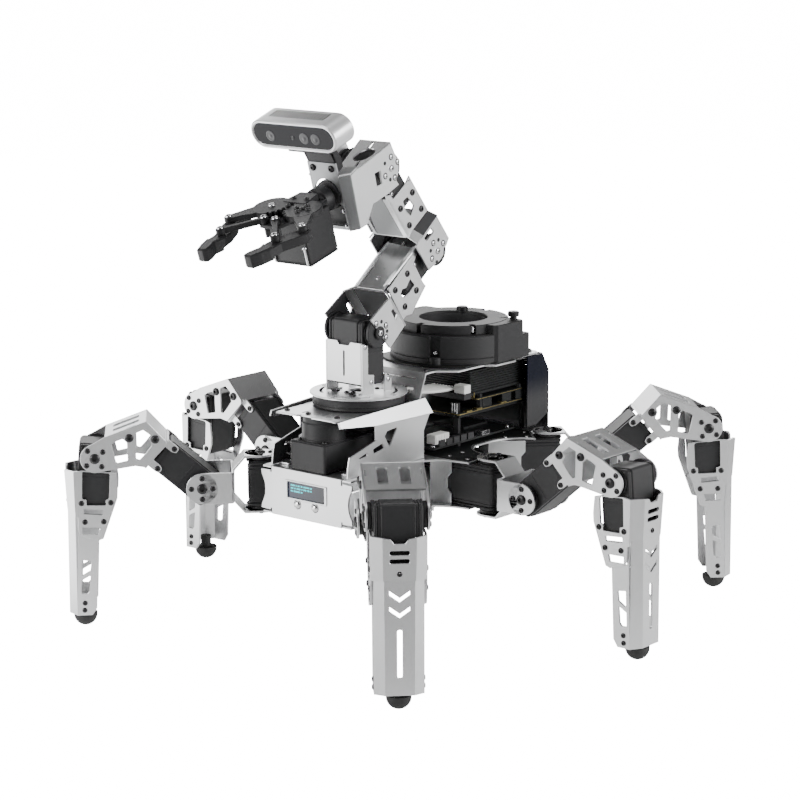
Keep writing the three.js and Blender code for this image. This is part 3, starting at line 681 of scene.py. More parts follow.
def legs():
    shank = shift(KNEE[0], 0, KNEE[1]) @ turn("Y", -SHANK_TILT)
    yaw_servo = moved(SERVO, shift(0, 0, JOINT_Z) @ turn("Z", math.pi))
    lift_servo = servo_across(FEMUR_AXIS_OUT, JOINT_Z, SERVO_RISE)
    knee_servo = servo_across(*KNEE, -math.pi / 2 + SHANK_TILT)
    recipes = [
        ("coxa_servo", "chassis", yaw_servo, "servo_black", "coxa_servo"),
        ("coxa_bracket", "coxa", coxa_bracket(), "aluminium_sheet", "coxa_bracket"),
        ("coxa_screws", "coxa", coxa_screws(), "screw_black", None),
        ("femur_servo", "femur", lift_servo, "servo_black", "femur_servo"),
        ("femur_bracket", "femur", femur_bracket(), "aluminium_sheet", "femur_bracket"),
        ("femur_screws", "femur", femur_screws(), "screw_black", None),
        ("tibia_shell", "tibia", moved(tibia_shell(), shank), "aluminium_sheet", "tibia_shell"),
        ("tibia_servo", "tibia", knee_servo, "servo_black", None),
        ("tibia_screws", "tibia", moved(tibia_screws(), shank), "screw_black", None),
        ("foot", "tibia", moved(foot(), shift(KNEE[0] + 11.3, 0, 0)), "foot_rubber", "foot"),
    ]
    for title, body, shape, look, node in recipes:
        for leg, (x, y, angle) in LEGS.items():
            matrix = shift(x, y, 0) @ turn("Z", math.radians(angle))
            rides = body if body == "chassis" else f"{leg}_{body}"
            replaced = [f"{leg}_{node}"] if node else []
            piece(f"{leg}_{title}_shown", rides, moved(shape, matrix), look, replaced)


legs()


# ---------------------------------------------------------------- chassis
LOW_Z = 95.4
TOP_Z = 134.1
END_X = 120.3
WALL_TOP = TOP_Z - PLATE - 0.3
FLANGE_AT = 13.5


def chassis_outline():
    quarter = [(END_X, 45.6), (106.9, 45.6), *curve((87.1, 65.4), (76, 43), (56, 43), 8),
               *curve((36, 43), (17, 50), (15, 76.5), 8)]

    def mirrored(sx, sy):
        return [(sx * x, sy * y) for x, y in quarter]

    return [*quarter, *reversed(mirrored(-1, 1)), *mirrored(-1, -1), *reversed(mirrored(1, -1))]


def servo_spots(offsets):
    """Places in the chassis plane given by each leg's own outward and sideways offsets."""
    spots = []
    for x, y, angle in LEGS.values():
        c, s = math.cos(math.radians(angle)), math.sin(math.radians(angle))
        spots += [(x + u * c - w * s, y + u * s + w * c) for u, w in offsets]
    return spots


SERVO_SCREWS = [(-19, -8), (-19, 8), (-37, -8), (-37, 8)]


def notched(inner, outer, notch):
    """The outline of an upright plate with a notch in its outer edge."""
    return rounded([(inner, LOW_Z), (outer, LOW_Z), (outer, 106), (notch, 110), (notch, 119), (outer, 123),
                    (outer, WALL_TOP), (inner, WALL_TOP)], 0.8)


def chassis():
    vents = [circle(5.5, x, y) for x in (-66, 66) for y in (-18, 18)]
    slots = [rounded(rect(x - 9, x + 9, y - 2, y + 2), 1.9) for x in (-30, 30) for y in (-30, 30)]
    middle = [circle(11, 0, 0)]
    lower = [slab([chassis_outline(), *vents, *slots, *middle], LOW_Z, LOW_Z + PLATE)]
    rear_slots = [rounded(rect(y - 7, y + 7, 108, 122), 3) for y in (-26, 0, 26)]
    lower.append(panel([rect(-45.6, 45.6, LOW_Z, WALL_TOP), *rear_slots], -END_X, -END_X + PLATE))
    for sx in (-1, 1):
        x0, x1 = sorted((sx * FLANGE_AT, sx * (FLANGE_AT + PLATE)))
        lower += [panel([notched(sy * 37, sy * 58.7, sy * 54.7)], x0, x1) for sy in (-1, 1)]
    for leg, side in (("front_left", 1), ("rear_left", -1), ("rear_right", 1), ("front_right", -1)):
        x, y, angle = LEGS[leg]
        cheek = side_wall([notched(-51, -20.5, -24.0)], side, FLANGE_AT, FLANGE_AT + PLATE)
        lower.append(moved(cheek, shift(x, y, 0) @ turn("Z", math.radians(angle))))
    piece("chassis_lower_plate_shown", "chassis", joined(*lower), "aluminium_sheet", ["chassis_lower_plate"])
    cut_outs = [rounded(rect(-14, 14, y - 5, y + 5), 3) for y in (-20, 20)]
    upper = slab([chassis_outline(), *vents, *cut_outs], TOP_Z - PLATE, TOP_Z)
    piece("chassis_upper_plate_shown", "chassis", upper, "aluminium_sheet", ["chassis_upper_plate"])
    spots = servo_spots(SERVO_SCREWS)
    top = screws([(x, y, TOP_Z) for x, y in spots], 1.9, (0, 0, 1))
    bottom = screws([(x, y, LOW_Z) for x, y in spots], 1.9, (0, 0, -1), 0.7)
    piece("chassis_screws", "chassis", joined(top, bottom), "screw_silver")


PANEL_X = 120.6
BUTTON_Y = 9.1
BUTTON_Z = 107.2
DISPLAY = {"half": 19.2, "low": 112.0, "high": 124.6}


def front_panel():
    half = 47.6
    end = [(half, 130.6), (47.0, 126.6), (45.2, 123.0), (43.8, 119.5), (43.4, 114.5), (43.8, 110.0),
           (45.6, 105.6), (47.2, 102.4), (half, 98.9)]
    outline = [(0, 134.1), (36.4, 134.1), (36.4, 129.4), (37.6, 129.4), (37.6, 131.0), *end,
               (37.6, 98.6), (37.6, 100.2), (36.4, 100.2), (36.4, 95.4), (0, 95.4)]
    outline = outline + [(-y, z) for y, z in reversed(outline[1:-1])]
    window = rounded(rect(-20.4, 20.4, 111.2, 125.4), 1.2)
    buttons = [circle(3.7, y, BUTTON_Z) for y in (-BUTTON_Y, BUTTON_Y)]
    sheet = panel([outline, window, *buttons], PANEL_X, PANEL_X + PLATE)
    tabs = [block(PANEL_X - 3.5, PANEL_X + 0.9, y - 4.2, y + 4.2, z, z + PLATE, 0.2)
            for y in (-41.6, 41.6) for z in (95.6, 132.3)]
    piece("front_panel_shown", "chassis", joined(sheet, *tabs), "aluminium_sheet", ["front_panel"])
    rim = rounded(rect(-21.9, 21.9, 110.4, 126.0), 1.6)
    opening = rounded(rect(-DISPLAY["half"], DISPLAY["half"], DISPLAY["low"], DISPLAY["high"]), 0.8)
    bezel = panel([rim, opening], PANEL_X + 0.6, PANEL_X + PLATE + 0.7, 0.35)
    piece("display_bezel", "chassis", bezel, "aluminium_sheet")
    glass = panel([rect(-19.6, 19.6, 111.6, 125.0)], PANEL_X - 0.6, PANEL_X + 0.9, 0.1)
    piece("display_window", "chassis", glass, "display_glass")
    rows = [(4.4, 1.2, 2.6, 2.2, 6.2, 2.0), (3.0, 1.6, 4.4, 1.2, 3.4, 2.4, 1.6), (2.4, 6.6, 2.0)]
    marks = []
    for row, lengths in enumerate(rows):
        y = -16.6
        z = 121.9 - 2.35 * row
        for length in lengths:
            marks.append(panel([rounded(rect(y, y + length, z - 0.62, z + 0.62), 0.25)],
                               PANEL_X + 0.8, PANEL_X + 1.05, 0.03))
            y += length + 0.75
    piece("display_marks", "chassis", joined(*marks), "display_glow")
    dome = [(3.3, 0), (3.3, 2.5), (3.1, 3.2), (2.5, 3.9), (1.6, 4.4), (0.8, 4.6)]
    dome = lathe([(0, 0), *dome, (0, 4.65)], 32)
    for node, y in (("button_left", BUTTON_Y), ("button_right", -BUTTON_Y)):
        shape = moved(dome, facing((PANEL_X - 1.2, y, BUTTON_Z), (1, 0, 0)))
        piece(f"{node}_shown", node, shape, "button_metal", [node])


# ---------------------------------------------------------------- deck
DECK_TOP = 178.6
REAR_TOP = 200.2
SKIRT_Y = 40.0
TABLE_X = 58.8
HUB_X = 100.4
TABLE_Z = 188.2
TABLE_R = 38.9
HOUSING_R = 36.6
WALL_FOOT = (25.4, 181.8)
WALL_HEAD = (13.7, REAR_TOP)


def face_normal(points):
    normal = Vector((0, 0, 0))
    for a, b in zip(points, points[1:] + points[:1]):
        normal += a.cross(b)
    return normal.normalized()


def plate_between(corners, thickness, holes=(), chamfer=0.15):
    """A flat plate whose outline is given by 3-D corners in one plane; holes are in its own two directions.

    The first corner is the origin, the second gives the first direction, and material lies behind the face.
    """
    points = [Vector(c) for c in corners]
    origin = points[0]
    u = (points[1] - origin).normalized()
    normal = face_normal(points)
    v = normal.cross(u)
    flat = [((p - origin).dot(u), (p - origin).dot(v)) for p in points]
    return moved(slab([flat, *holes], -thickness, 0, chamfer), axes(u, v, normal, origin))


def deck_side(side):
    """The bent strip along one side of the deck, and the skirt below it."""
    top_front = (122, side * 33.4, 178.2)
    top_rear = (24.4, side * 38.4, 182.6)
    low_rear = (19.4, side * 39.9, 169.2)
    low_middle = (84.7, side * 39.9, 170.5)
    low_front = (122, side * 36.6, 174.0)
    strip_corners = [top_front, top_rear, low_rear, low_middle, low_front]
    if side < 0:
        strip_corners.reverse()
    edge = plate_between(strip_corners, PLATE)
    skirt = [(18.9, 169.4), (26.2, 156.7), (26.2, 134.4), (118.2, 134.4), (117.6, 142), (115.6, 150.6),
             (84.7, 158.9), (84.7, 170.6)]
    windows = [
        [(73.9, 160.3), (68.3, 151), (58.8, 165.2), (71.3, 163.9)],
        [(87.9, 152.4), (86.9, 148.8), (75, 150.8), (77, 155.3)],
        [(108.3, 147.3), (94.6, 148.5), (95, 151)],
    ]
    loops = [skirt, *[rounded(w, 0.8) for w in windows]]
    inner = SKIRT_Y - PLATE
    # A thin dark sheet inside the skirt: painted shade on its inner face.
    piece(f"skirt_painted_shade_{'left' if side > 0 else 'right'}", "chassis",
          side_wall(loops, side, inner - 0.2, inner + 0.3, 0.05), "lining_dark")
    foot_low, foot_high = sorted((side * inner, side * 27))
    foot_z = TOP_Z + 0.3
    feet = [block(x, x + 9, foot_low, foot_high, foot_z, foot_z + PLATE, 0.2, 2) for x in (32, 103)]
    return joined(edge, side_wall(loops, side, inner, SKIRT_Y), *feet)


def rear_outline():
    edge = [(13.7, 31.5), (2.7, 31.7), (-9.1, 46.4), (-41.7, 46.5), (-47.9, 54.3), (-73.3, 54.9),
            (-83.9, 47.4), (-113, 47.4), (-118, 42.4)]
    return rounded([*edge, *flipped(edge)], 1.0, 2)


def arm_deck():
    front = [(122, -31.0), (120.4, -27), (120.4, -11.0), (117.6, -8.0), (117.6, 2.0), (120.4, 5.0),
             (120.4, 26.0), (122, 31.0)]
    outline = [(24.5, -37.6), *front, (24.5, 37.6)]
    hub_hole = circle(13.6, TABLE_X, 0, 40)
    slots = [rounded(rect(104, 112, y - 1.0, y + 1.0), 0.9) for y in (-12, 12)]
    top = slab([outline, hub_hole, *slots], DECK_TOP - PLATE, DECK_TOP)
    dx, dz = WALL_HEAD[0] - WALL_FOOT[0], WALL_HEAD[1] - WALL_FOOT[1]
    height = math.hypot(dx, dz)
    slope = [rounded(rect(8, 60, height - 6.2, height - 5.2), 0.45), rounded(rect(44, 61, 3.2, 8.6), 2.2),
             rounded(rect(28, 36, 5.0, 7.6), 1.2), rounded(rect(14, 22, 5.0, 7.6), 1.2)]
    holes = [[(x - 1.0, y) for x, y in hole] for hole in slope]
    corners = [(WALL_FOOT[0], -34.8, WALL_FOOT[1]), (WALL_FOOT[0], 34.8, WALL_FOOT[1]),
               (WALL_HEAD[0], 31.5, WALL_HEAD[1]), (WALL_HEAD[0], -31.5, WALL_HEAD[1])]
    rise = plate_between(corners, PLATE, holes)
    toe = plate_between([(WALL_FOOT[0], -34.8, WALL_FOOT[1]), (26.2, -34.8, DECK_TOP - 0.2),
                         (26.2, 34.8, DECK_TOP - 0.2), (WALL_FOOT[0], 34.8, WALL_FOOT[1])], PLATE)
    rear_holes = [circle(28.4, -60.6, 0, 48), *[circle(1.7, x, y, 16) for x in (-104, 4) for y in (-24, 24)]]
    rear = slab([rear_outline(), *rear_holes], REAR_TOP - PLATE, REAR_TOP)
    shape = joined(top, rise, toe, rear, deck_side(1), deck_side(-1))
    piece("arm_deck_shown", "chassis", shape, "aluminium_sheet", ["arm_deck"])
    spots = [(110.3, 22.5), (112.5, -5.4), (112.4, -27.5), (30.5, 26), (30.5, -26)]
    heads = [screws([(x, y, DECK_TOP) for x, y in spots], 2.3, (0, 0, 1), 1.4),
             screws([(-111.5, y, REAR_TOP) for y in (-38.5, 38.5)], 3.1, (0, 0, 1), 2.2),
             screws([(6.0, y, REAR_TOP) for y in (-25, 25)], 2.0, (0, 0, 1), 1.2)]
    piece("deck_screws", "chassis", joined(*heads), "screw_black")


def arm_yaw_drive():
    """The drive unit below the deck and the bearing housing on it."""
    body = slab([rounded(rect(46, 120.2, -18.4, 18.4), 2.6)], 134.4, 157.2, 0.8)
    lid = slab([rounded(rect(47.0, 119.2, -17.4, 17.4), 2.2)], 156.6, 157.9, 0.4)
    hub = moved(lathe([(0, 157), (17.2, 157), (17.2, 171.5), (16.4, 172.6), (16.4, 176.8), (0, 176.8)], 48),
                shift(HUB_X, 0, 0))
    collar = moved(rod(17.8, 157.6, 159.4, 0.4, 48), shift(HUB_X, 0, 0))
    shaft = moved(rod(12.2, 157, 181, 0.3, 32), shift(TABLE_X, 0, 0))
    rim = [(36.0, 179.3), (HOUSING_R, 179.9), (HOUSING_R, 181.6), (36.1, 181.9), (36.1, 182.4),
           (HOUSING_R, 182.7), (HOUSING_R, 187.3), (36.0, 187.8)]
    housing = moved(lathe([(0, 179.3), *rim, (0, 187.8)], 72), shift(TABLE_X, 0, 0))
    plugs = [block(x, x + 9, -22.0, -18.0, z, z + 4.6, 0.3) for x, z in ((106, 141), (106, 150), (90, 142))]
    shape = joined(body, lid, hub, collar, shaft, housing)
    piece("arm_yaw_drive_shown", "chassis", shape, "servo_black", ["arm_yaw_drive"])
    leads = []
    for k, x in enumerate((107.5, 110.0, 112.5)):
        leads.append(cable([(x, -21.8, 143.5), (x + 1, -25 - k, 144.4), (x - 3, -29, 141.5 + k),
                            (x - 20, -31, 137.4 + k), (x - 50, -30, 136.6 + k)], 0.65))
        leads.append(cable([(x, -21.8, 152.5), (x + 1, -26 - k, 153.0), (x - 5, -31, 148 + k),
                            (x - 24, -33, 140 + k), (x - 52, -30, 137.6 + k)], 0.65))
    piece("drive_plugs", "chassis", joined(*plugs), "connector_white")
    piece("drive_leads", "chassis", joined(*leads), "servo_black")
    heads = screws([(x, y, 158.2) for x in (52, 114) for y in (-12.5, 12.5)], 2.0, (0, 0, 1), 0.9)
    piece("drive_screws", "chassis", heads, "screw_black")


# ---------------------------------------------------------------- sensor and boards
DRUM_X = -60.6
DRUM_R = 52.4
RING_R = 45.0
DRUM_HOLE_R = 28.1
GROOVE_ANGLE = 22
DRUM_FOOT = 200.5


def ring_outline(r, notches, depth, half_width):
    """A circle with square notches cut in from outside at given angles, in degrees."""
    sides = 96
    points = []
    half = math.degrees(half_width / r)
    for k in range(sides):
        angle = 360 * k / sides
        if any(abs((angle - n + 180) % 360 - 180) <= half for n in notches):
            continue
        points.append((angle, r))
    for n in notches:
        points += [(n - half, r), (n - half * 0.98, r - depth), (n + half * 0.98, r - depth), (n + half, r)]
    points = sorted((a % 360, i, rad) for i, (a, rad) in enumerate(points))
    return [polar(rad, a) for a, _, rad in points]


def within(loop, x, limit):
    """A loop seen from the point (x, 0), brought in to a limiting radius."""
    sides = 120
    result = []
    for k in range(sides):
        dx, dy = math.cos(2 * math.pi * k / sides), math.sin(2 * math.pi * k / sides)
        reach = limit
        for (x0, y0), (x1, y1) in zip(loop, loop[1:] + loop[:1]):
            ex, ey = x1 - x0, y1 - y0
            cross = dx * ey - dy * ex
            if abs(cross) < 1e-9:
                continue
            along = ((x0 - x) * ey - y0 * ex) / cross
            share = ((x0 - x) * dy - y0 * dx) / cross
            if along > 0 and 0 <= share <= 1:
                reach = min(reach, along)
        result.append((x + reach * dx, reach * dy))
    return result


def sensor_drum():
    body_loop = [(x + DRUM_X, y) for x, y in ring_outline(DRUM_R, [GROOVE_ANGLE], 3.0, 4.6)]
    body = slab([body_loop, circle(DRUM_HOLE_R, DRUM_X, 0, 64)], 205.8, 224.4, 0.8)
    floor_plate = slab([circle(DRUM_R, DRUM_X, 0, 96)], DRUM_FOOT, 206.0, 0.6)
    foot_pad = moved(rod(5.2, 200.6, 207.5, 0.4), shift(*polar(DRUM_R - 2.2, GROOVE_ANGLE, DRUM_X), 0))
    notches = range(0, 360, 60)
    ring_loop = [(x + DRUM_X, y) for x, y in ring_outline(RING_R, notches, 5.5, 2.2)]
    ring = slab([ring_loop, circle(DRUM_HOLE_R, DRUM_X, 0, 64)], 224.2, 232.2, 0.5)
    inner = moved(lathe([(0, 206.5), (24, 206.5), (24, 208.5), (20, 210), (0, 210)], 48), shift(DRUM_X, 0, 0))
    sleeve = slab([circle(30.5, DRUM_X, 0, 64), circle(26.6, DRUM_X, 0, 64)], 206, 229.5, 0.4)
    blocks = []
    for side in (-1, 1):
        outer = [(-48.9, 30), (-48.9, 50.5), (-51.9, 53.5), (-84.5, 53.5), (-87.5, 50.5), (-87.5, 30)]
        outer = [(x, side * y) for x, y in outer]
        blocks.append(slab([outer], DRUM_FOOT, 231.9, 0.7))
        step = [(x, side * y) for x, y in ((-80, 24), (-80, 52.4), (-94.4, 52.4), (-97.0, 50), (-97.0, 24))]
        blocks.append(slab([step], DRUM_FOOT, 219.9, 0.6))
    back = slab([rounded(rect(-110.5, -88, -13, 13), 3)], DRUM_FOOT, 214, 0.6)
    # A thin black sheet on the rear plate round the drum: painted reflection of the drum in the plate.
    drum_reflection_loop = within(inset(rear_outline(), 1.2), DRUM_X, 60)
    drum_reflection_hole = circle(DRUM_HOLE_R + 0.4, DRUM_X, 0, 64)
    drum_reflection_sheet = slab([drum_reflection_loop, drum_reflection_hole], REAR_TOP + 0.05, REAR_TOP + 1.6, 0.2)
    piece("drum_gasket", "chassis", drum_reflection_sheet, "board_black")
    shape = joined(body, floor_plate, foot_pad, ring, inner, sleeve, *blocks, back)
    piece("sensor_drum_shown", "chassis", shape, "drum_black", ["sensor_drum"])
    thumb = lathe([(0, 231), (3.0, 231), (3.0, 235.6), (4.5, 236.0), (4.5, 239.5), (4.0, 240), (1.7, 240),
                   (1.7, 238.4), (0, 238.4)], 20)
    rib = block(4.3, 4.75, -0.35, 0.35, 236.3, 239.3, 0.05)
    knob = joined(thumb, *[moved(rib, turn("Z", math.radians(a))) for a in range(0, 360, 24)])
    knobs = joined(*[moved(knob, shift(x, y, z)) for x, y, z in ((-82.6, 45.2, -1.4), (-88.2, -13, -4.4))])
    piece("drum_knobs", "chassis", knobs, "screw_black")
    groove_screw = screws([(DRUM_R - 2.6, 0, 210.5)], 1.9, (1, 0, 0), 1.0)
    groove_screw = moved(groove_screw, shift(DRUM_X, 0, 0) @ turn("Z", math.radians(GROOVE_ANGLE)))
    notch_screw = screws([(RING_R - 3.2, 0, 226.5)], 1.8, (0, 0, 1), 4.6)
    notch_screw = moved(notch_screw, shift(DRUM_X, 0, 0) @ turn("Z", math.radians(60)))
    piece("drum_screws", "chassis", joined(groove_screw, notch_screw), "screw_silver")


def between(loop, low, high):
    """The part of a loop whose first coordinate lies between two values."""
    for limit, side in ((low, 1), (high, -1)):
        kept = []
        for (x0, y0), (x1, y1) in zip(loop, loop[1:] + loop[:1]):
            if side * (x0 - limit) >= 0:
                kept.append((x0, y0))
            if (x0 - limit) * (x1 - limit) < 0:
                kept.append((limit, y0 + (y1 - y0) * (limit - x0) / (x1 - x0)))
        loop = kept
    return loop


CONTROL_Z = 138.5
MAIN_Z = 161.3
UPPER_Z = 170.3
BOARD = 1.6


def board(x0, x1, half, z, corner):
    return slab([rounded(rect(x0, x1, -half, half), corner)], z, z + BOARD, 0.1)


def electronics():
    control = board(-92, 16, 41, CONTROL_Z, 3)
    under = [block(-124, -22, y - 6, y + 6, 157.8, 161.4, 0.3) for y in (-31, -15.5, 0, 15.5, 31)]
    sheet = slab([between(inset(chassis_outline(), 2.5), -104, 16)], TOP_Z + 0.05, TOP_Z + 0.5, 0.1)
    main = board(-128, -17, 41.2, MAIN_Z, 2)
    upper = board(-110, -40.5, 41.1, UPPER_Z, 2)
    chips = []
    chip_rows = [(-70, 0, 16, 16, 140.0, 2), (-40, 22, 9, 9, 140.0, 1.6), (-40, -20, 12, 7, 140.0, 1.6),
                 (-8, 0, 10, 8, 140.0, 1.8), (-30, -20, 8, 8, 162.8, 3), (-28, -35, 6, 4, 162.8, 5)]
    for x, y, w, d, z, h in chip_rows:
        chips.append(block(x - w, x + w, y - d, y + d, z, z + h, 0.2))
    module = [block(-112, -35, -38, 38, 174, 176.4, 0.3)]
    for k in range(9):
        z = 177.4 + k * 1.95
        module.append(block(-111.4, -35.6, -37.6, 37.6, z, z + 1.15, 0.15))
    core = block(-110, -37, -36.2, 36.2, 175, 194, 0.3)
    rails = [block(x, x + 12, y, y + 5.5, 163.0, 170.2, 0.3)
             for x in (-122, -104, -86, -60) for y in (-40.6, 35.1)]
    shape = joined(control, sheet, main, upper, *under, *chips, *module, core, *rails)
    piece("electronics_stack_shown", "chassis", shape, "board_black", ["electronics_stack"])
    posts = []
    for xs, y, r, low, high in (((-112, -24), 33, 3, 134.4, 161.3), ((-112, -24), 33, 2.6, 162.8, 170.2),
                                ((-98, -46), 38.5, 2.5, 162.8, 175)):
        posts += [moved(rod(r, low, high, 0.2, 6), shift(x, sign * y, 0)) for x in xs for sign in (-1, 1)]
    piece("board_spacers", "chassis", joined(*posts), "black_metal")
    edges = []
    for outer, inner, low, high in (((-128.4, -16.6, 41.5), (-127.6, -17.4, 40.7), 161.8, 162.5),
                                    ((-110.3, -40.2, 41.4), (-109.6, -40.9, 40.7), 170.8, 171.4)):
        loops = [rounded(rect(x0, x1, -y, y), r) for (x0, x1, y), r in ((outer, 2.2), (inner, 1.8))]
        edges.append(slab(loops, low, high, 0.1))
    contacts = [block(x, x + 7, 37.5, 41.9, 162.7, 163.9, 0.15) for x in (-78, -46, -33)]
    contacts += [block(-40.6, -39.6, 22 + k * 3, 23.2 + k * 3, 172.0, 176.8, 0.1) for k in range(6)]
    piece("board_gilding", "chassis", joined(*edges, *contacts), "gold_contact")
    pins = [block(-16.7, -15.6, y, y + 0.8, 163, 171.5, 0.1) for y in (34, 36.4, 38.8)]
    pads = screws([(x, y, MAIN_Z + BOARD) for x in (-112, -24) for y in (-33, 33)], 2.2, (0, 0, 1), 1.0)
    small_spots = [(x, y, CONTROL_Z + BOARD) for x in (-86, -40, 10) for y in (-36, 36)]
    small = screws(small_spots, 1.9, (0, 0, 1), 1.0)
    usb_outline = rounded(rect(-56, -47, 33.5, 41.5), 0.4)
    usb = joined(*[slab([usb_outline], z, z + 0.5, 0.05) for z in (140.2, 143.2)],
                 *[block(x, x + 0.5, 33.5, 41.5, 140.4, 143.5, 0.05) for x in (-56, -47.5)])
    piece("board_fittings", "chassis", joined(*pins, pads, small, usb), "screw_silver")
    sockets = []
    for k in range(5):
        x = -36 + k * 9.2
        sockets += [block(x, x + 7.4, y, y + 5, 140.0, 145.4, 0.3) for y in (36.2, -41.2)]
    socket_body = block(-33, -25, 29.5, 40, 177.5, 184.6, 0.4)
    plug_back = block(-35, -26, 2, 39, 172, 177.4, 0.4)
    piece("board_sockets", "chassis", joined(*sockets, plug_back), "servo_black")
    ribs = [block(-4.9 + k * 3.4, -2.6 + k * 3.4, 39.8, 40.4, 143.0, 149.2, 0.05) for k in range(5)]
    white = joined(block(-5.5, 12, 31, 40, 142.2, 150, 0.4), socket_body, *ribs)
    piece("white_sockets", "chassis", white, "connector_white")
    loom = []
    for k in range(8):
        y = 5.0 + k * 3.1
        loom.append(cable([(-30, y, 180.4), (-16, y, 180.8), (0, y * 0.95, 182), (15.5, y * 0.9, 184)], 1.45))
    piece("ribbon_leads", "chassis", joined(*loom), "connector_white")
    side = [(-100.5, 197.8), (-121.4, 197.8), (-129.6, 184), (-129.6, 146.5), (-113, 138.5), (-100.5, 138.5)]
    far_side = [(-100.5, 197.8), (-121.4, 197.8), (-129.6, 184), (-129.6, 134.6), (-20, 134.6), (-20, 161),
                (-100.5, 161)]
    rear = rect(-46.2, 46.2, 130.0, 183.8)
    covers = joined(wall([side], 44.9, 46.4, 0.25), wall([far_side], -46.4, -44.9, 0.25),
                    panel([rear], -130.3, -128.8, 0.25),
                    plate_between([(-129.3, -44.8, 184.0), (-129.3, 44.8, 184.0), (-121.4, 44.8, 197.6),
                                   (-121.4, -44.8, 197.6)], 1.4))
    piece("rear_cover_smoked", "chassis", covers, "cover_smoked")


# ---------------------------------------------------------------- arm
def arc_slot(r, centre_angle, span, half):
    """A curved slot in the turntable, its angles in degrees."""
    angles = [centre_angle + span * (i / 10 - 0.5) for i in range(11)]
    outer = [polar(r + half, a, TABLE_X) for a in angles]
    inner = [polar(r - half, a, TABLE_X) for a in reversed(angles)]
    return outer + inner


SLIM = 0.84  # the width of the elbow and wrist servos, as a share of a leg servo's


def arm_servo(x, z, toward, slim=SLIM):
    """A servo across the arm at an axis, its long side pointing at another axis."""
    angle = math.atan2(toward[1] - z, toward[0] - x)
    caps = [moved(rod(12.3, 20.4, ARM_IN + 0.5, 0.4, 40), shift(x, 0, z) @ turn("X", side * math.pi / 2))
            for side in (-1, 1)]
    level = shift(x, 0, z) @ turn("Y", -angle)
    thinner = level @ Matrix.Scale(slim, 4, (0, 0, 1)) @ level.inverted()
    return joined(moved(servo_across(x, z, angle), thinner), *caps)


def pivot_fittings(name, body, x, z, bright, shut, black_ring):
    """Silver heads round an arm pivot, with dark discs of painted shade in and round its holes, at angles in
    degrees, on both sides.
    """
    silver, dark = [], []
    for side in (-1, 1):
        normal = (0, side, 0)

        def spots(angles):
            return [(u, side * ARM_OUT, w) for u, w in [polar(8.8, a, x, z) for a in angles]]

        silver.append(screws(spots(bright), 2.0, normal, 0.9))
        # Flat dark discs: painted shade round each silver head and in each empty hole.
        dark += [moved(rod(2.6, 0.0, 0.1, 0.03, 20), facing(spot, normal)) for spot in spots(bright)]
        dark += [moved(rod(1.6, 0.0, 0.12, 0.03, 16), facing(spot, normal)) for spot in spots(shut)]
        silver.append(screws([(x, side * (ARM_OUT + (0.6 if black_ring else 0)), z)], 2.7, normal, 1.4))
        if black_ring:
            ring = lathe([(0, 0), (5.3, 0), (5.3, 0.5), (4.6, 1.0), (3.0, 1.0), (3.0, 0.6), (0, 0.6)], 28)
            dark.append(moved(ring, facing((x, side * ARM_OUT, z), normal)))
    piece(f"{name}_silver_screws", body, joined(*silver), "screw_silver")
    piece(f"{name}_holes_painted_shade_and_rings", body, joined(*dark), "screw_black")


def turntable():
    holes = [arc_slot(30, a, 46, 1.1) for a in (-54, 36, 126, 216)]
    holes += [circle(2.2, *polar(33.6, a, TABLE_X), 20) for a in (-85, 5, 95, 185)]
    holes += [circle(2.6, *polar(20.6, a, TABLE_X), 20) for a in (-50, 148, 212)]
    holes.append(rounded(rect(TABLE_X - 6, TABLE_X + 6, -6, 6), 3))
    disc = slab([circle(TABLE_R, TABLE_X, 0, 96), *holes], TABLE_Z, TABLE_Z + PLATE, 0.25)
    notch = [(-7.0, 231.5), (-4.8, 228.6), (4.8, 228.6), (7.0, 231.5)]
    mast = panel([[(-17.7, 198.4), (17.7, 198.4), (17.7, 231.5), *reversed(notch), (-17.7, 231.5)],
                  rounded(rect(-0.75, 0.75, 204, 224), 0.6)], 74.8, 76.3)
    flange = rounded([(76.1, 231), (69.5, 229.5), (69.5, 206), (62.4, 205), (62.4, TABLE_Z + 0.2),
                      (76.1, TABLE_Z + 0.2)], 0.8)
    tab = rounded([(41.3, TABLE_Z + 0.2), (49.5, TABLE_Z + 0.2), (49.5, 205), (41.3, 199)], 1.0)
    bends = [block(62.6, 76.0, y - 2.6, y + 2.6, TABLE_Z + PLATE - 0.2, TABLE_Z + 2.9, 0.3)
             for y in (-16.2, 16.2)]
    shape = joined(disc, mast, both([flange], CHEEK_IN, CHEEK_OUT), both([tab], CHEEK_IN, CHEEK_OUT), *bends)
    piece("turntable_shown", "arm_base", shape, "aluminium_sheet", ["turntable"])
    cross = [(13, -1.2), (21.5, 13.8), (11, 4), (17, 6.5), (13, -11), (-13, 8), (-13, -8), (-21, 12),
             (-21, -12)]
    heads = screws([(TABLE_X + x, y, TABLE_Z + PLATE) for x, y in cross], 2.0, (0, 0, 1), 1.2)
    piece("turntable_black_screws", "arm_base", heads, "screw_black")
    sides = side_screws([(73.0, 228.4), (66.0, 199.5), (45.6, 199.0)], CHEEK_OUT, 2.1, 1.0)
    piece("turntable_silver_screws", "arm_base", sides, "screw_silver")
    servo_shape = arm_servo(*SHOULDER, (SHOULDER[0], SHOULDER[1] - 10), 1.0)
    piece("shoulder_servo_shown", "arm_base", servo_shape, "servo_black", ["shoulder_servo"])


def pair(shape):
    """The shape, and its mirror image on the robot's other side."""
    return joined(shape, moved(shape, Matrix.Scale(-1, 4, (0, 1, 0))))


def painted_shade_layer(corners):
    """A thin dark layer of painted shade on the inner face of a sheet whose outer face has these corners."""
    points = [Vector(c) for c in corners]
    inward = face_normal(points) * -(PLATE + 0.12)
    return plate_between([p + inward for p in reversed(points)], 0.3, (), 0.05)


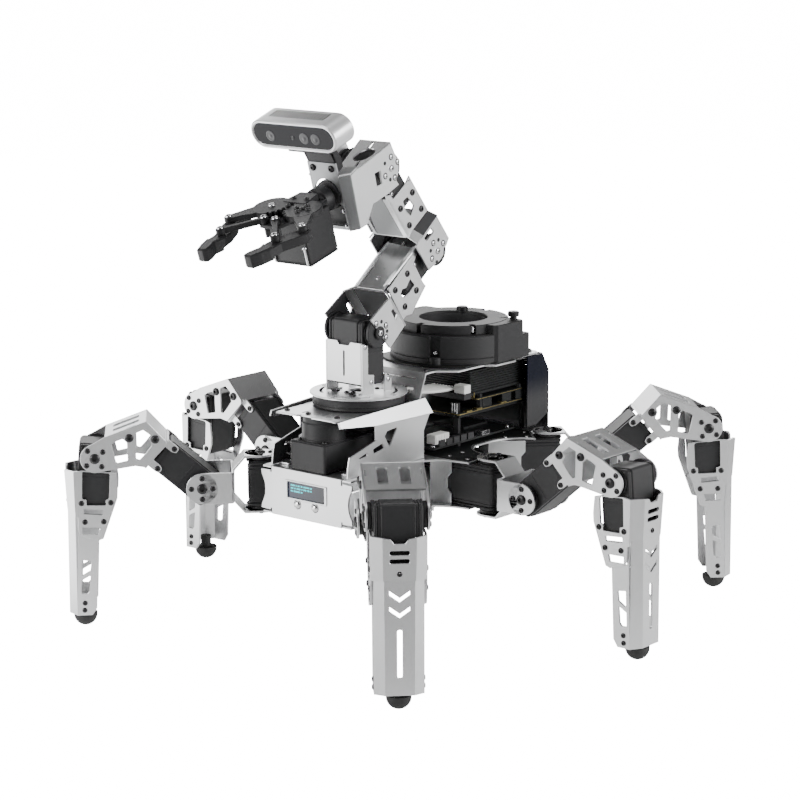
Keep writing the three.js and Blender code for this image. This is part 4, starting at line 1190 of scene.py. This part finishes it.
def fork_faces(bend, neck, neck_half):
    """The corners of a fork's left bevel and of the bridge across its neck.

    bend and neck are the two ends of those lines in the XZ plane, the front end first.
    """
    (ax, az), (bx, bz) = bend
    (cx, cz), (dx, dz) = neck
    bevel = [(cx, neck_half, cz), (dx, neck_half, dz), (bx, ARM_OUT, bz), (ax, ARM_OUT, az)]
    bridge = [(dx, -neck_half, dz), (cx, -neck_half, cz), (cx, neck_half, cz), (dx, neck_half, dz)]
    return bevel, bridge


# Painted shade: thin dark layers on the inner faces of a fork's sides, bevels and bridge.
def fork_painted_shade(sides, bend, neck, neck_half):
    bevel, bridge = fork_faces(bend, neck, neck_half)
    return joined(both(sides, ARM_IN - 0.12, ARM_IN + 0.3, 0.05), pair(painted_shade_layer(bevel)), painted_shade_layer(bridge))


def fork(sides, bend, neck, neck_half, slots):
    """Two side plates, a bevel from each to a narrower neck, and the slotted bridge across it."""
    bevel, bridge = fork_faces(bend, neck, neck_half)
    return joined(both(sides, ARM_IN, ARM_OUT), pair(plate_between(bevel, PLATE)),
                  plate_between(bridge, PLATE, slots))


def vents(length, half):
    """Two rows of rounded slots across a bridge plate whose first corner is at one end."""
    out = []
    for k in range(2):
        u = length * (0.34 + 0.3 * k)
        out += [rounded(rect(u - 1.3, u + 1.3, v - 4.5, v + 4.5), 1.2) for v in (half * 0.5, half * 1.5)]
    return out


def upper_arm():
    slot = rounded([(44.2, 256), (39.8, 250.5), (41.7, 245.5), (47.3, 254)], 0.7)
    bend = [(49.7, 264.4), (31.2, 239.9)]
    sides = [[(71.8, 250.1), *bend, (48.7, 224.9)], slot]
    neck = [(45.0, 268.5), (26.5, 244.0)]
    neck_half = 15.8
    lower_edge = [(1.7, 270.5), (-1.8, 267.2), (15.7, 246.9), (23.0, 246.4), (26.8, 243.6)]
    cheek = [(44.8, 270.3), (30.2, 282.6), (11.6, 297.2), (9.4, 299.2), (7.8, 296.6), (13.6, 287.6),
             *lower_edge]
    far_cheek = [(42.0, 265.9), (2.4, 296.8), (-7.0, 285.8), *lower_edge]
    badge = rounded([(17.9, 275.3), (12.6, 269.9), (19.0, 264.6), (26.5, 261.2), (29.5, 264.8), (27.8, 268.0),
                     (22.6, 268.8), (20.0, 272.4)], 0.8)
    half = 13.5
    low_x, low_z, high_x, high_z = 44.3, 268.9, 4.7, 299.8
    left_high = (6.6, half, 298.3)
    across = [(low_x, -half, low_z), (low_x, half, low_z), left_high, (high_x, -half, high_z)]
    centre_slit = rounded(rect(half - 0.45, half + 0.45, 22, 53), 0.3)
    edge_slits = [rounded(rect(v - 0.35, v + 0.35, 1.5, 24), 0.25) for v in (1.4, 2 * half - 1.4)]
    web = plate_between(across, PLATE, [centre_slit, *edge_slits])
    bevel = [left_high, (9.2, CHEEK_OUT, 299.1), (low_x - 1.6, CHEEK_OUT, low_z + 0.4), (low_x, half, low_z)]
    far_bevel = [(low_x, -half, low_z), (low_x - 2.4, -CHEEK_OUT, low_z - 3.2),
                 (high_x - 2.4, -CHEEK_OUT, high_z - 3.2), (high_x, -half, high_z)]
    parts = [fork(sides, bend, neck, neck_half, vents(30.7, neck_half)),
             side_wall([cheek, badge], 1, CHEEK_IN, CHEEK_OUT),
             side_wall([far_cheek, badge], -1, CHEEK_IN, CHEEK_OUT),
             web, plate_between(bevel, PLATE), plate_between(far_bevel, PLATE)]
    # Painted shade inside the upper arm's fork.
    piece("upper_fork_lining", "upper_arm", fork_painted_shade(sides, bend, neck, neck_half), "lining_dark")
    piece("upper_arm_bracket_shown", "upper_arm", joined(*parts), "aluminium_sheet", ["upper_arm_bracket"])
    piece("elbow_servo_shown", "upper_arm", arm_servo(*ELBOW, SHOULDER), "servo_black", ["elbow_servo"])
    pivot_fittings("shoulder", "upper_arm", *SHOULDER, (62, 147, 212), (104, 180), True)
    heads = side_screws([(21.7, 280), (36.5, 268.7), (10.5, 265.2), (24.7, 254.1)], CHEEK_OUT, 2.7, 1.3)
    piece("upper_arm_screws", "upper_arm", heads, "screw_black")
    fixing = joined(screws([(34.6, 0, 276.4)], 1.9, (0.615, 0, 0.788), 0.9),
                    side_screws([(12.6, 286.2)], CHEEK_OUT, 1.6, 0.8))
    piece("upper_arm_small_screws", "upper_arm", fixing, "screw_silver")


def forearm():
    slot = rounded([(-2.2, 314.2), (-5.7, 310.8), (3.6, 304.4), (6.6, 306.9)], 0.8)
    sides = [[(16.6, 301.8), (-9.6, 322.9), (-24.8, 303.5), (-21.4, 297.6), (-18.2, 296.4), (-17.2, 290.6),
              (-13.0, 286.6), (-6.0, 283.9), (0.3, 280.4)], slot]
    bend = [(15.4, 302.9), (-9.6, 322.9)]
    neck = [(19.5, 309.0), (-4.6, 327.4)]
    neck_half = 15.7
    cheek = [(47.5, 344.3), (20.9, 309.2), (-4.2, 328.0), (18.8, 357.4), (22.6, 352.4), (38.2, 341.0),
             (42.2, 344.6)]
    badge = rounded([(26.4, 338.0), (21.2, 341.0), (13.2, 333.4), (17.0, 325.4), (22.9, 330.2)], 0.8)
    half = 13.75
    start = Vector((18.4, 0, 309.6))
    rise, run = math.sin(math.radians(51.5)), math.cos(math.radians(51.5))
    along, outward = Vector((run, 0, rise)), Vector((rise, 0, -run))

    def on_web(distance, y, shifted=0.0):
        p = start + along * distance
        return (p.x - shifted, y, p.z + shifted)

    web = [on_web(24.5, -9.0), on_web(42, 0.3), on_web(41, half), on_web(0, half), on_web(0, -half)]
    bevel = [on_web(41, half), on_web(41, CHEEK_OUT, 0.4), on_web(0, CHEEK_OUT, 0.4), on_web(0, half)]
    # Painted shade inside the forearm's fork.
    piece("forearm_fork_lining", "forearm", fork_painted_shade(sides, bend, neck, neck_half), "lining_dark")
    parts = [fork(sides, bend, neck, neck_half, vents(30.3, neck_half)),
             both([cheek, badge], CHEEK_IN, CHEEK_OUT), pair(plate_between(bevel, PLATE))]
    # The web takes the darker aluminium: painted shade.
    piece("forearm_web", "forearm", plate_between(web, PLATE), "dull_sheet")
    piece("forearm_bracket_shown", "forearm", joined(*parts), "aluminium_sheet", ["forearm_bracket"])
    piece("wrist_servo_shown", "forearm", arm_servo(*WRIST, ELBOW), "servo_black", ["wrist_servo"])
    pivot_fittings("elbow", "forearm", *ELBOW, (52, 142, 322), (97, 7, 277), False)
    # A dark dot and a dark dash on the web: painted shade in a hole and a slit.
    hole = moved(rod(0.9, 0.0, 0.1, 0.02, 14), facing(on_web(10.5, 2.0), outward))
    dash = moved(block(18, 27, -1.4, -0.8, -0.02, 0.08, 0.02), axes(along, (0, -1, 0), outward, start))
    heads = side_screws([(15.2, 343.9), (29.7, 332.5), (4.3, 329.8), (18.9, 318.2)], CHEEK_OUT, 2.7, 1.3)
    piece("forearm_screws", "forearm", joined(hole, dash, heads), "screw_black")
    small = side_screws([(20.4, 354.2), (40.4, 345.0)], CHEEK_OUT, 1.6, 0.8)
    piece("forearm_small_screws", "forearm", small, "screw_silver")


WRIST_FACING = (0.955, 0, -0.297)


def wrist():
    side = [(47.5, 386.8), (86.7, 370), (94, 365), (83.0, 323.0), (75.5, 325.4), (68.1, 340.7), (50.5, 346.6),
            (37.3, 352.6), (40.3, 356.0), (38.3, 361.0), (37.6, 366.5), (39.2, 372.5), (42.4, 378.0)]
    window = rounded([(66.4, 364.0), (59.2, 365.8), (57.5, 355.6), (63.6, 353.9)], 0.6)
    far_side = [(47.5, 386.8), (64, 378), (70, 340.7), (50.5, 346.6), (37.3, 352.6), (38.3, 361.0),
                (42.4, 378.0)]
    half = 15.8
    low, high = (84.6, 321.0), (101.1, 374.0)
    ring = [polar(12.8, -38 + 16 * k, half, 29.3) for k in range(17)]
    gate = [(2.6, 3.0), (2 * half - 2.6, 3.0), (2 * half - 2.6, 20.5), *ring, (2.6, 20.5)]
    front = [(low[0], -half, low[1]), (low[0], half, low[1]), (high[0], half - 1.4, high[1]),
             (high[0], -half + 1.4, high[1])]
    edge_top, edge_low = (97.9, half, 363.8), (84.6, half, 321.0)
    bevel_top, brow_end = (94.2, ARM_OUT, 365.3), (88.2, half, 369.5)
    bevel = [edge_top, bevel_top, (82.9, ARM_OUT, 322.6), edge_low]
    brow = [brow_end, (86.7, ARM_OUT, 370.1), bevel_top, edge_top]
    lip = [(88.2, -half, 369.5), (97.9, -half, 363.8), edge_top, brow_end]
    roof = [(47.5, -7.0, 386.8), (86.9, 6.4, 370.0), (86.9, ARM_OUT, 370.0), (47.5, ARM_OUT, 386.8)]
    along = (Vector(roof[1]) - Vector(roof[0])).normalized()
    normal = Vector((0.394, 0, 0.919))
    across = normal.cross(along)

    def on_roof(x, y):
        point = Vector((x, y, 386.8 - (x - 47.5) * 0.4286)) - Vector(roof[0])
        return (point.dot(along), point.dot(across))

    hole = [on_roof(67.6 + 9.6 * math.cos(t), 14.8 + 8.0 * math.sin(t)) for t in
            [math.radians(10 * k) for k in range(36)]]
    slits = [[on_roof(*p) for p in ((49.0, 9.2), (49.0, 7.4), (59.0, 10.4), (58.0, 12.2))],
             [on_roof(*p) for p in ((76.0, 18.9), (77.0, 17.0), (84.6, 19.8), (84.6, 21.8))]]
    # The wrist's front and bevel take the darker aluminium: painted shade.
    face = [plate_between(front, SHEET, [gate]), plate_between(bevel, PLATE)]
    piece("wrist_face", "wrist", joined(*face), "dull_sheet")
    parts = [side_wall([side, window], 1, ARM_IN, ARM_OUT), side_wall([far_side], -1, ARM_IN, ARM_OUT),
             plate_between(brow, PLATE), plate_between(lip, PLATE),
             plate_between(roof, PLATE, [hole, *slits])]
    piece("wrist_box_shown", "wrist", joined(*parts), "aluminium_sheet", ["wrist_box"])
    pivot_fittings("wrist", "wrist", *WRIST, (88, 150, 240, 322), (30, 277), False)
    tilt = shift(88, 0, 343) @ turn("Y", math.radians(17.3)) @ shift(-88, 0, -343)
    motor = moved(block(77, 86.5, -15.6, 15.6, 318.5, 345, 1.2, 3), tilt)
    disc = moved(rod(12.0, 0, 6.0, 0.6, 40), facing((87.6, 0, 349.6), WRIST_FACING))
    piece("roll_servo", "wrist", joined(motor, disc), "servo_black")
    spots = [(88.6, 13.2, 336.6), (85.2, 13.2, 324.8), (88.6, -13.2, 336.6), (85.2, -13.2, 324.8)]
    piece("roll_servo_screws", "wrist", screws(spots, 2.1, WRIST_FACING, 1.6), "screw_silver")
    big = screws([(99.8, y, 369.6) for y in (-9.3, 9.3)], 2.9, WRIST_FACING, 1.6)
    piece("wrist_black_screws", "wrist", big, "screw_black")


CAMERA_AT = (132.8, 396.2)
CAMERA_PITCH = math.radians(20.7)


def stadium(half, half_height):
    """An outline with straight top and bottom and half circles at its ends."""
    right = [polar(half_height, -90 + 180 * k / 14, half - half_height) for k in range(15)]
    return right + [(-y, -z) for y, z in right]


def depth_camera():
    level = shift(CAMERA_AT[0], 0, CAMERA_AT[1]) @ turn("Y", CAMERA_PITCH)

    def put(name, parts, look, replaces=()):
        piece(name, "wrist", moved(joined(*parts), level), look, replaces)

    shell = panel([stadium(43, 11.7), stadium(40.2, 8.9)], -23.6, 0, 1.0)
    back = panel([stadium(42.2, 10.9)], -23.9, -4, 0.8)
    put("depth_camera_shown", [shell, back], "camera_silver", ["depth_camera"])
    put("camera_window", [panel([stadium(40.4, 9.1)], -3.6, -1.0, 0.1)], "lens_glass")
    middles = [-26.5 + 3.3 * k for k in range(17)]
    slots = [rounded(rect(-19.0, -8.0, y - 0.75, y + 0.75), 0.6) for y in middles]
    # Dark slabs on the shell: painted shade in the vent slots.
    put("camera_vents", [slab([slot], 11.5, 11.76, 0.02) for slot in slots], "void_black")
    eyes = []
    for y, r in ((-23.6, 4.4), (-1.0, 1.8), (10.6, 4.6), (22.0, 4.6)):
        eye = lathe([(0, -1.05), (r, -1.05), (r, -0.85), (r * 0.82, -0.6), (r * 0.6, -0.85), (r * 0.45, -0.7),
                     (0, -0.6)], 32)
        eyes.append(moved(eye, shift(0, y, -1.2) @ turn("Y", math.pi / 2)))
    put("camera_eyes", eyes, "lens_ring")
    centres = []
    for y, r in ((-23.6, 1.6), (10.6, 1.8), (22.0, 1.8)):
        dot = lathe([(0, -0.75), (r, -0.75), (r * 0.7, -0.45), (0, -0.4)], 20)
        centres.append(moved(dot, shift(0, y, -1.2) @ turn("Y", math.pi / 2)))
    put("camera_pupils", centres, "lens_core")
    stem = [(96.0, 366.0), (97.4, 365.6), (100.2, 373.6), (105.2, 381.5), (110.6, 389.0), (122.0, 383.6),
            (123.4, 386.2), (110.6, 393.2), (103.6, 383.6), (98.8, 374.2)]
    flank = [(97.0, 366.5), (100.2, 373.6), (110.6, 389.0), (106.0, 392.5), (93.5, 378.6), (91.0, 371.0)]
    upright = joined(wall([stem], -14, 14, 0.25), both([flank], 12.6, 14.0))
    piece("camera_bracket", "wrist", upright, "black_metal")


# ---------------------------------------------------------------- gripper
GRIP_AT = (139.4, 341.8)
GRIP_PITCH = math.radians(17.3)
GEAR_Y = 15.6
GEAR_R = 15.4
LINK = (25.6, 22.0)
FOLLOWER = (20.6, 5.8)
LINK_HALF = 2.2


def gear_outline(side):
    """Toothed on the side that faces the other gear, round elsewhere."""
    points = []
    teeth = 20
    root = GEAR_R - 2.2
    pitch = 2 * math.pi / teeth
    phase = 0.5 if side > 0 else 0.0
    for k in range(teeth):
        centre = (k + phase) * pitch
        toward = -side * math.sin(centre)
        if toward > 0.35:
            for offset, r in ((-0.5, root), (-0.30, root), (-0.16, GEAR_R), (0.16, GEAR_R), (0.30, root)):
                a = centre + offset * pitch
                points.append((r * math.cos(a), side * GEAR_Y + r * math.sin(a)))
        else:
            for offset in (-0.5, -0.25, 0, 0.25):
                a = centre + offset * pitch
                points.append((GEAR_R * math.cos(a), side * GEAR_Y + GEAR_R * math.sin(a)))
    return points


def link_outline(start, end, r0, r1):
    """Two round ends joined by straight sides."""
    (ax, ay), (bx, by) = start, end
    along = math.degrees(math.atan2(by - ay, bx - ax))
    far_end = [polar(r1, along - 90 + 22.5 * k, bx, by) for k in range(9)]
    return far_end + [polar(r0, along + 90 + 22.5 * k, ax, ay) for k in range(9)]


def dogbone(start, end, r, half):
    """A bar with round ends: an eye at each end and a narrower middle."""
    (ax, ay), (bx, by) = start, end
    along = math.degrees(math.atan2(by - ay, bx - ax))
    sweep = 180 - math.degrees(math.asin(half / r))
    turns = [sweep * (k / 8 - 1) for k in range(17)]
    far_end = [polar(r, along + t, bx, by) for t in turns]
    return far_end + [polar(r, along + 180 + t, ax, ay) for t in turns]


def finger_outline(points, side):
    """An outline on one side; past its middle the finger is drawn in a little and turned outwards."""
    out = []
    for x, y in points:
        past = max(0.0, (x - 45) / 34)
        out.append((x - 4.3 * past, side * (y + 3.6 * past)))
    return out


FINGER = [(22, 33), (30, 27.4), (42, 22.2), (52, 20), (62, 21), (70, 17.2), (76.5, 15.6), (79, 18), (79, 24),
          (70, 28.4), (62, 31.8), (48, 33.8), (36, 39.8), (28, 43), (21, 41)]
FINGER_PAD = [(53, 19.6), (62, 20.6), (70, 16.8), (77, 15.3), (79.2, 18), (79.2, 24), (70, 28.6), (58, 32.6)]


def finger_side(put, side, name):
    """One half of the gripper: drive link, follower link and fingertip."""
    up = (0, 0, 1)
    end = (LINK[0], side * (GEAR_Y + LINK[1]))
    gear = slab([gear_outline(side), circle(2.0, 0, side * GEAR_Y, 16)], -LINK_HALF, LINK_HALF, 0.35)
    above = link_outline((2, side * (GEAR_Y + 2)), end, 9.4, 3.8)
    arm = slab([above], -LINK_HALF + 0.2, LINK_HALF - 0.1, 0.35)
    below = link_outline((16, side * (GEAR_Y + 14)), end, 4.0, 3.8)
    lower = slab([below], -LINK_HALF - 3.0, -LINK_HALF - 0.9, 0.3)
    drive = joined(gear, arm, lower)
    put(f"{name}_drive_link_shown", f"{name}_drive", drive, "black_metal", [f"{name}_drive_link"])
    spots = [(*end, LINK_HALF)] if side > 0 else [(0, side * GEAR_Y, LINK_HALF), (*end, LINK_HALF)]
    heads = screws(spots, 2.7, up, 1.5)
    stem = moved(rod(1.8, -3.2, 3.0, 0.2, 16), shift(*end, 0))
    put(f"{name}_drive_screws", f"{name}_drive", joined(heads, stem), "screw_silver")
    start = (FOLLOWER[0], side * FOLLOWER[1])
    finish = (FOLLOWER[0] + LINK[0], side * (FOLLOWER[1] + LINK[1]))
    bar = slab([dogbone(start, finish, 3.7, 2.1)], -LINK_HALF, LINK_HALF, 0.35)
    eye = rod(3.0, -LINK_HALF - 0.7, LINK_HALF + 0.4, 0.2, 24)
    follower = joined(bar, *[moved(eye, shift(*spot, 0)) for spot in (start, finish)])
    put(f"{name}_follower_link_shown", f"{name}_follower", follower, "black_metal", [f"{name}_follower_link"])
    pins = screws([(*start, LINK_HALF), (*finish, LINK_HALF)], 2.7, up, 1.5)
    put(f"{name}_follower_screws", f"{name}_follower", pins, "screw_silver")
    finger = joined(slab([rounded(finger_outline(FINGER, side), 1.0, 2)], -10.4, -3.0, 0.7),
                    slab([rounded(finger_outline(FINGER_PAD, side), 1.2, 3)], -12.6, -2.0, 1.2),
                    moved(rod(4.0, -3.2, -2.4, 0.1), shift(*end, 0)))
    put(f"{name}_fingertip_shown", f"{name}_tip", finger, "black_metal", [f"{name}_fingertip"])
    under = screws([(60, side * 28, -12.6), (47, side * 27, -10.4)], 1.7, (0, 0, -1), 0.9)
    put(f"{name}_tip_screws", f"{name}_tip", under, "screw_silver")


def gripper():
    level = shift(GRIP_AT[0], 0, GRIP_AT[1]) @ turn("Y", GRIP_PITCH)

    def put(name, body, shape, look, replaces=()):
        piece(name, body, moved(shape, level), look, replaces)

    edge = [(-30, -14), (-14, -19), (6, -19), (12, -13), (24, -9)]
    plate = [*edge, *flipped(edge)]
    holes = [circle(2.4, -6, 0, 20), circle(1.8, 6, 0, 16), circle(2.2, -20, 8, 20), circle(2.2, -20, -8, 20)]
    palm = [
        slab([rounded(plate, 2), *holes], -5.6, -2.7, 0.4),
        slab([rounded(rect(-26, 7, -18.5, 18.5), 1.2)], -40.6, -5.5, 0.6),
        slab([rounded(rect(-26, 7, -18.5, 18.5), 1.2)], -42.8, -41.1, 0.5),
        slab([rounded(rect(-25.4, 6.4, -17.9, 17.9), 1.2)], -41.4, -40.3, 0.1),
        moved(lathe([(0, -43), (9.5, -43), (11, -41.5), (11, -33), (9.8, -31.8), (9.8, -28.5), (11, -27.4),
                     (0, -27.4)], 36), shift(0, 0, -8) @ turn("Y", math.pi / 2)),
        block(-30, -24, -14, 14, -19, -4, 0.8),
        slab([rounded([(-27, -9), (-8, -12), (-8, 12), (-27, 9)], 2)], -2.9, 2.6, 0.4),
    ]
    put("gripper_palm_shown", "gripper", joined(*palm), "black_metal", ["gripper_palm"])
    posts = [moved(rod(2.0, -14, -2.7, 0.2, 16), shift(x, y, 0)) for x, y in ((20, 5.8), (20, -5.8))]
    caps = screws([(-2, 0, 2.6), (-16, 6.5, 2.6), (-16, -6.5, 2.6)], 2.0, (0, 0, 1))
    put("palm_screws", "gripper", joined(*posts, caps), "screw_black")
    cross = [(0, GEAR_Y), (5.6, GEAR_Y), (-5.6, GEAR_Y), (0, GEAR_Y + 5.6), (0, GEAR_Y - 5.6)]
    gear_heads = screws([(x, y, LINK_HALF) for x, y in cross], 2.2, (0, 0, 1), 1.2)
    put("gear_screws", "left_drive", gear_heads, "screw_black")
    studs = [moved(rod(0.9, -41, -27, 0.2, 12), shift(8.0, y, 0)) for y in (-16.5, 16.5)]
    heads_under = screws([(8.0, y, -27.0) for y in (-16.5, 16.5)], 1.7, (0, 0, 1), 1.2)
    put("palm_studs", "gripper", joined(*studs, heads_under), "screw_silver")
    for side, name in ((1, "left"), (-1, "right")):
        finger_side(put, side, name)



chassis()
front_panel()
arm_deck()
arm_yaw_drive()
sensor_drum()
electronics()
turntable()
upper_arm()
forearm()
wrist()
depth_camera()
gripper()


# ---------------------------------------------------------------- stage
SKY = [(0.0, 0.5), (0.50, 0.95), (0.60, 0.60), (0.75, 0.20), (1.0, 0.12)]
AIR = 0.9
CAMERA_SIDE = 0.1
FLOOR = 0.6
FLOOR_GLOW = 0.62
FLOOR_FRONT = 0.0
FLOOR_SIDE = 6.0
SEEN_WHITE = 16.0
LAMPS = [
    ("front_light", (2.4, -0.9, 0.9), 1.6, 1.4, 70), ("left_light", (-0.8, 2.4, 0.9), 1.6, 1.4, 88),
    ("back_light", (-2.0, -2.2, 1.2), 2.4, 1.4, 42), ("top_light", (0.2, 0.2, 2.6), 1.2, 1.2, 12),
]
TO_CAMERA = (0.765, 0.644, 0.0)
CAMERA_LEFT = (0.644, -0.765, 0.0)
CAMERA_RIGHT = (-0.765, 0.644, 0.0)  # and a little away from the camera
CAMERA_SPOT = (1.5708, 1.3159, 0.6074)
CAMERA_TURN = (220.1, -12.0, -0.2)
CAMERA_LENS = 116.46


def area_light(name, place_at, width, height, power):
    """A lamp that looks at the robot's middle."""
    data = bpy.data.lights.new(name, "AREA")
    data.shape = "RECTANGLE"
    data.size = width
    data.size_y = height
    data.energy = power
    obj = bpy.data.objects.new(name, data)
    bpy.context.scene.collection.objects.link(obj)
    obj.location = place_at
    toward = Vector((0, 0, 0.18)) - Vector(place_at)
    obj.rotation_euler = toward.to_track_quat("-Z", "Y").to_euler()


def sky():
    """Grey air, darker on the camera's side."""
    world = bpy.data.worlds.new("studio_air")
    bpy.context.scene.world = world
    world.use_nodes = True
    nodes, links = world.node_tree.nodes, world.node_tree.links
    air = nodes["Background"]
    place = nodes.new("ShaderNodeTexCoord").outputs["Generated"]
    ramp = nodes.new("ShaderNodeValToRGB")
    while len(ramp.color_ramp.elements) < len(SKY):
        ramp.color_ramp.elements.new(0.5)
    for element, (position, level) in zip(ramp.color_ramp.elements, SKY):
        element.position = position
        element.color = (level, level, level, 1)
    height = graded(nodes, links, place, (0, 0, 1), -1, 1, smooth=False)
    links.new(height, ramp.inputs["Fac"])
    links.new(ramp.outputs["Color"], air.inputs["Color"])
    strength = graded(nodes, links, place, TO_CAMERA, 0.55, 0.9, AIR, AIR * CAMERA_SIDE)
    links.new(strength, air.inputs["Strength"])


def floor():
    """A floor that the camera sees as plain white, and that throws a graded light up at the robot."""
    material, nodes, links, surface = tree("studio_floor")
    surface.inputs["Roughness"].default_value = 0.9
    surface.inputs["Specular IOR Level"].default_value = 0.0
    surface.inputs["Base Color"].default_value = (FLOOR, FLOOR, FLOOR, 1)
    surface.inputs["Emission Color"].default_value = (1, 1, 1, 1)
    place = nodes.new("ShaderNodeTexCoord").outputs["Object"]
    glow = graded(nodes, links, place, TO_CAMERA, 0.15, 0.5, FLOOR_GLOW, FLOOR_FRONT)
    side = graded(nodes, links, place, CAMERA_LEFT, 0.15, 0.6, 1.0, FLOOR_SIDE)
    fade = graded(nodes, links, place, CAMERA_RIGHT, 0.3, 0.85, 1.0, 0.0)
    pick = nodes.new("ShaderNodeMix")
    pick.data_type = "FLOAT"
    links.new(nodes.new("ShaderNodeLightPath").outputs["Is Camera Ray"], pick.inputs[0])
    links.new(times(nodes, links, times(nodes, links, glow, fade), side), pick.inputs[2])
    pick.inputs[3].default_value = SEEN_WHITE
    links.new(pick.outputs[0], surface.inputs["Emission Strength"])
    mesh = bpy.data.meshes.new("studio_floor")
    reach = 14.0
    mesh.from_pydata([(x, y, 0) for x, y in rect(-reach, reach, -reach, reach)], [], [(0, 1, 2, 3)])
    mesh.materials.append(material)
    obj = bpy.data.objects.new("studio_floor", mesh)
    bpy.context.scene.collection.objects.link(obj)


def studio():
    sky()
    floor()
    for lamp in LAMPS:
        area_light(*lamp)


def camera():
    data = bpy.data.cameras.new("camera")
    data.sensor_width = 36.0
    data.lens = CAMERA_LENS
    data.clip_start = 0.05
    data.clip_end = 60
    obj = bpy.data.objects.new("camera", data)
    bpy.context.scene.collection.objects.link(obj)
    yaw, pitch, roll = (math.radians(a) for a in CAMERA_TURN)
    ahead = Vector((math.cos(yaw) * math.cos(pitch), math.sin(yaw) * math.cos(pitch), math.sin(pitch)))
    right = Vector((math.sin(yaw), -math.cos(yaw), 0))
    up = right.cross(ahead)
    obj.matrix_world = axes(right, up, -ahead, CAMERA_SPOT) @ turn("Z", roll)
    bpy.context.scene.camera = obj


studio()
camera()
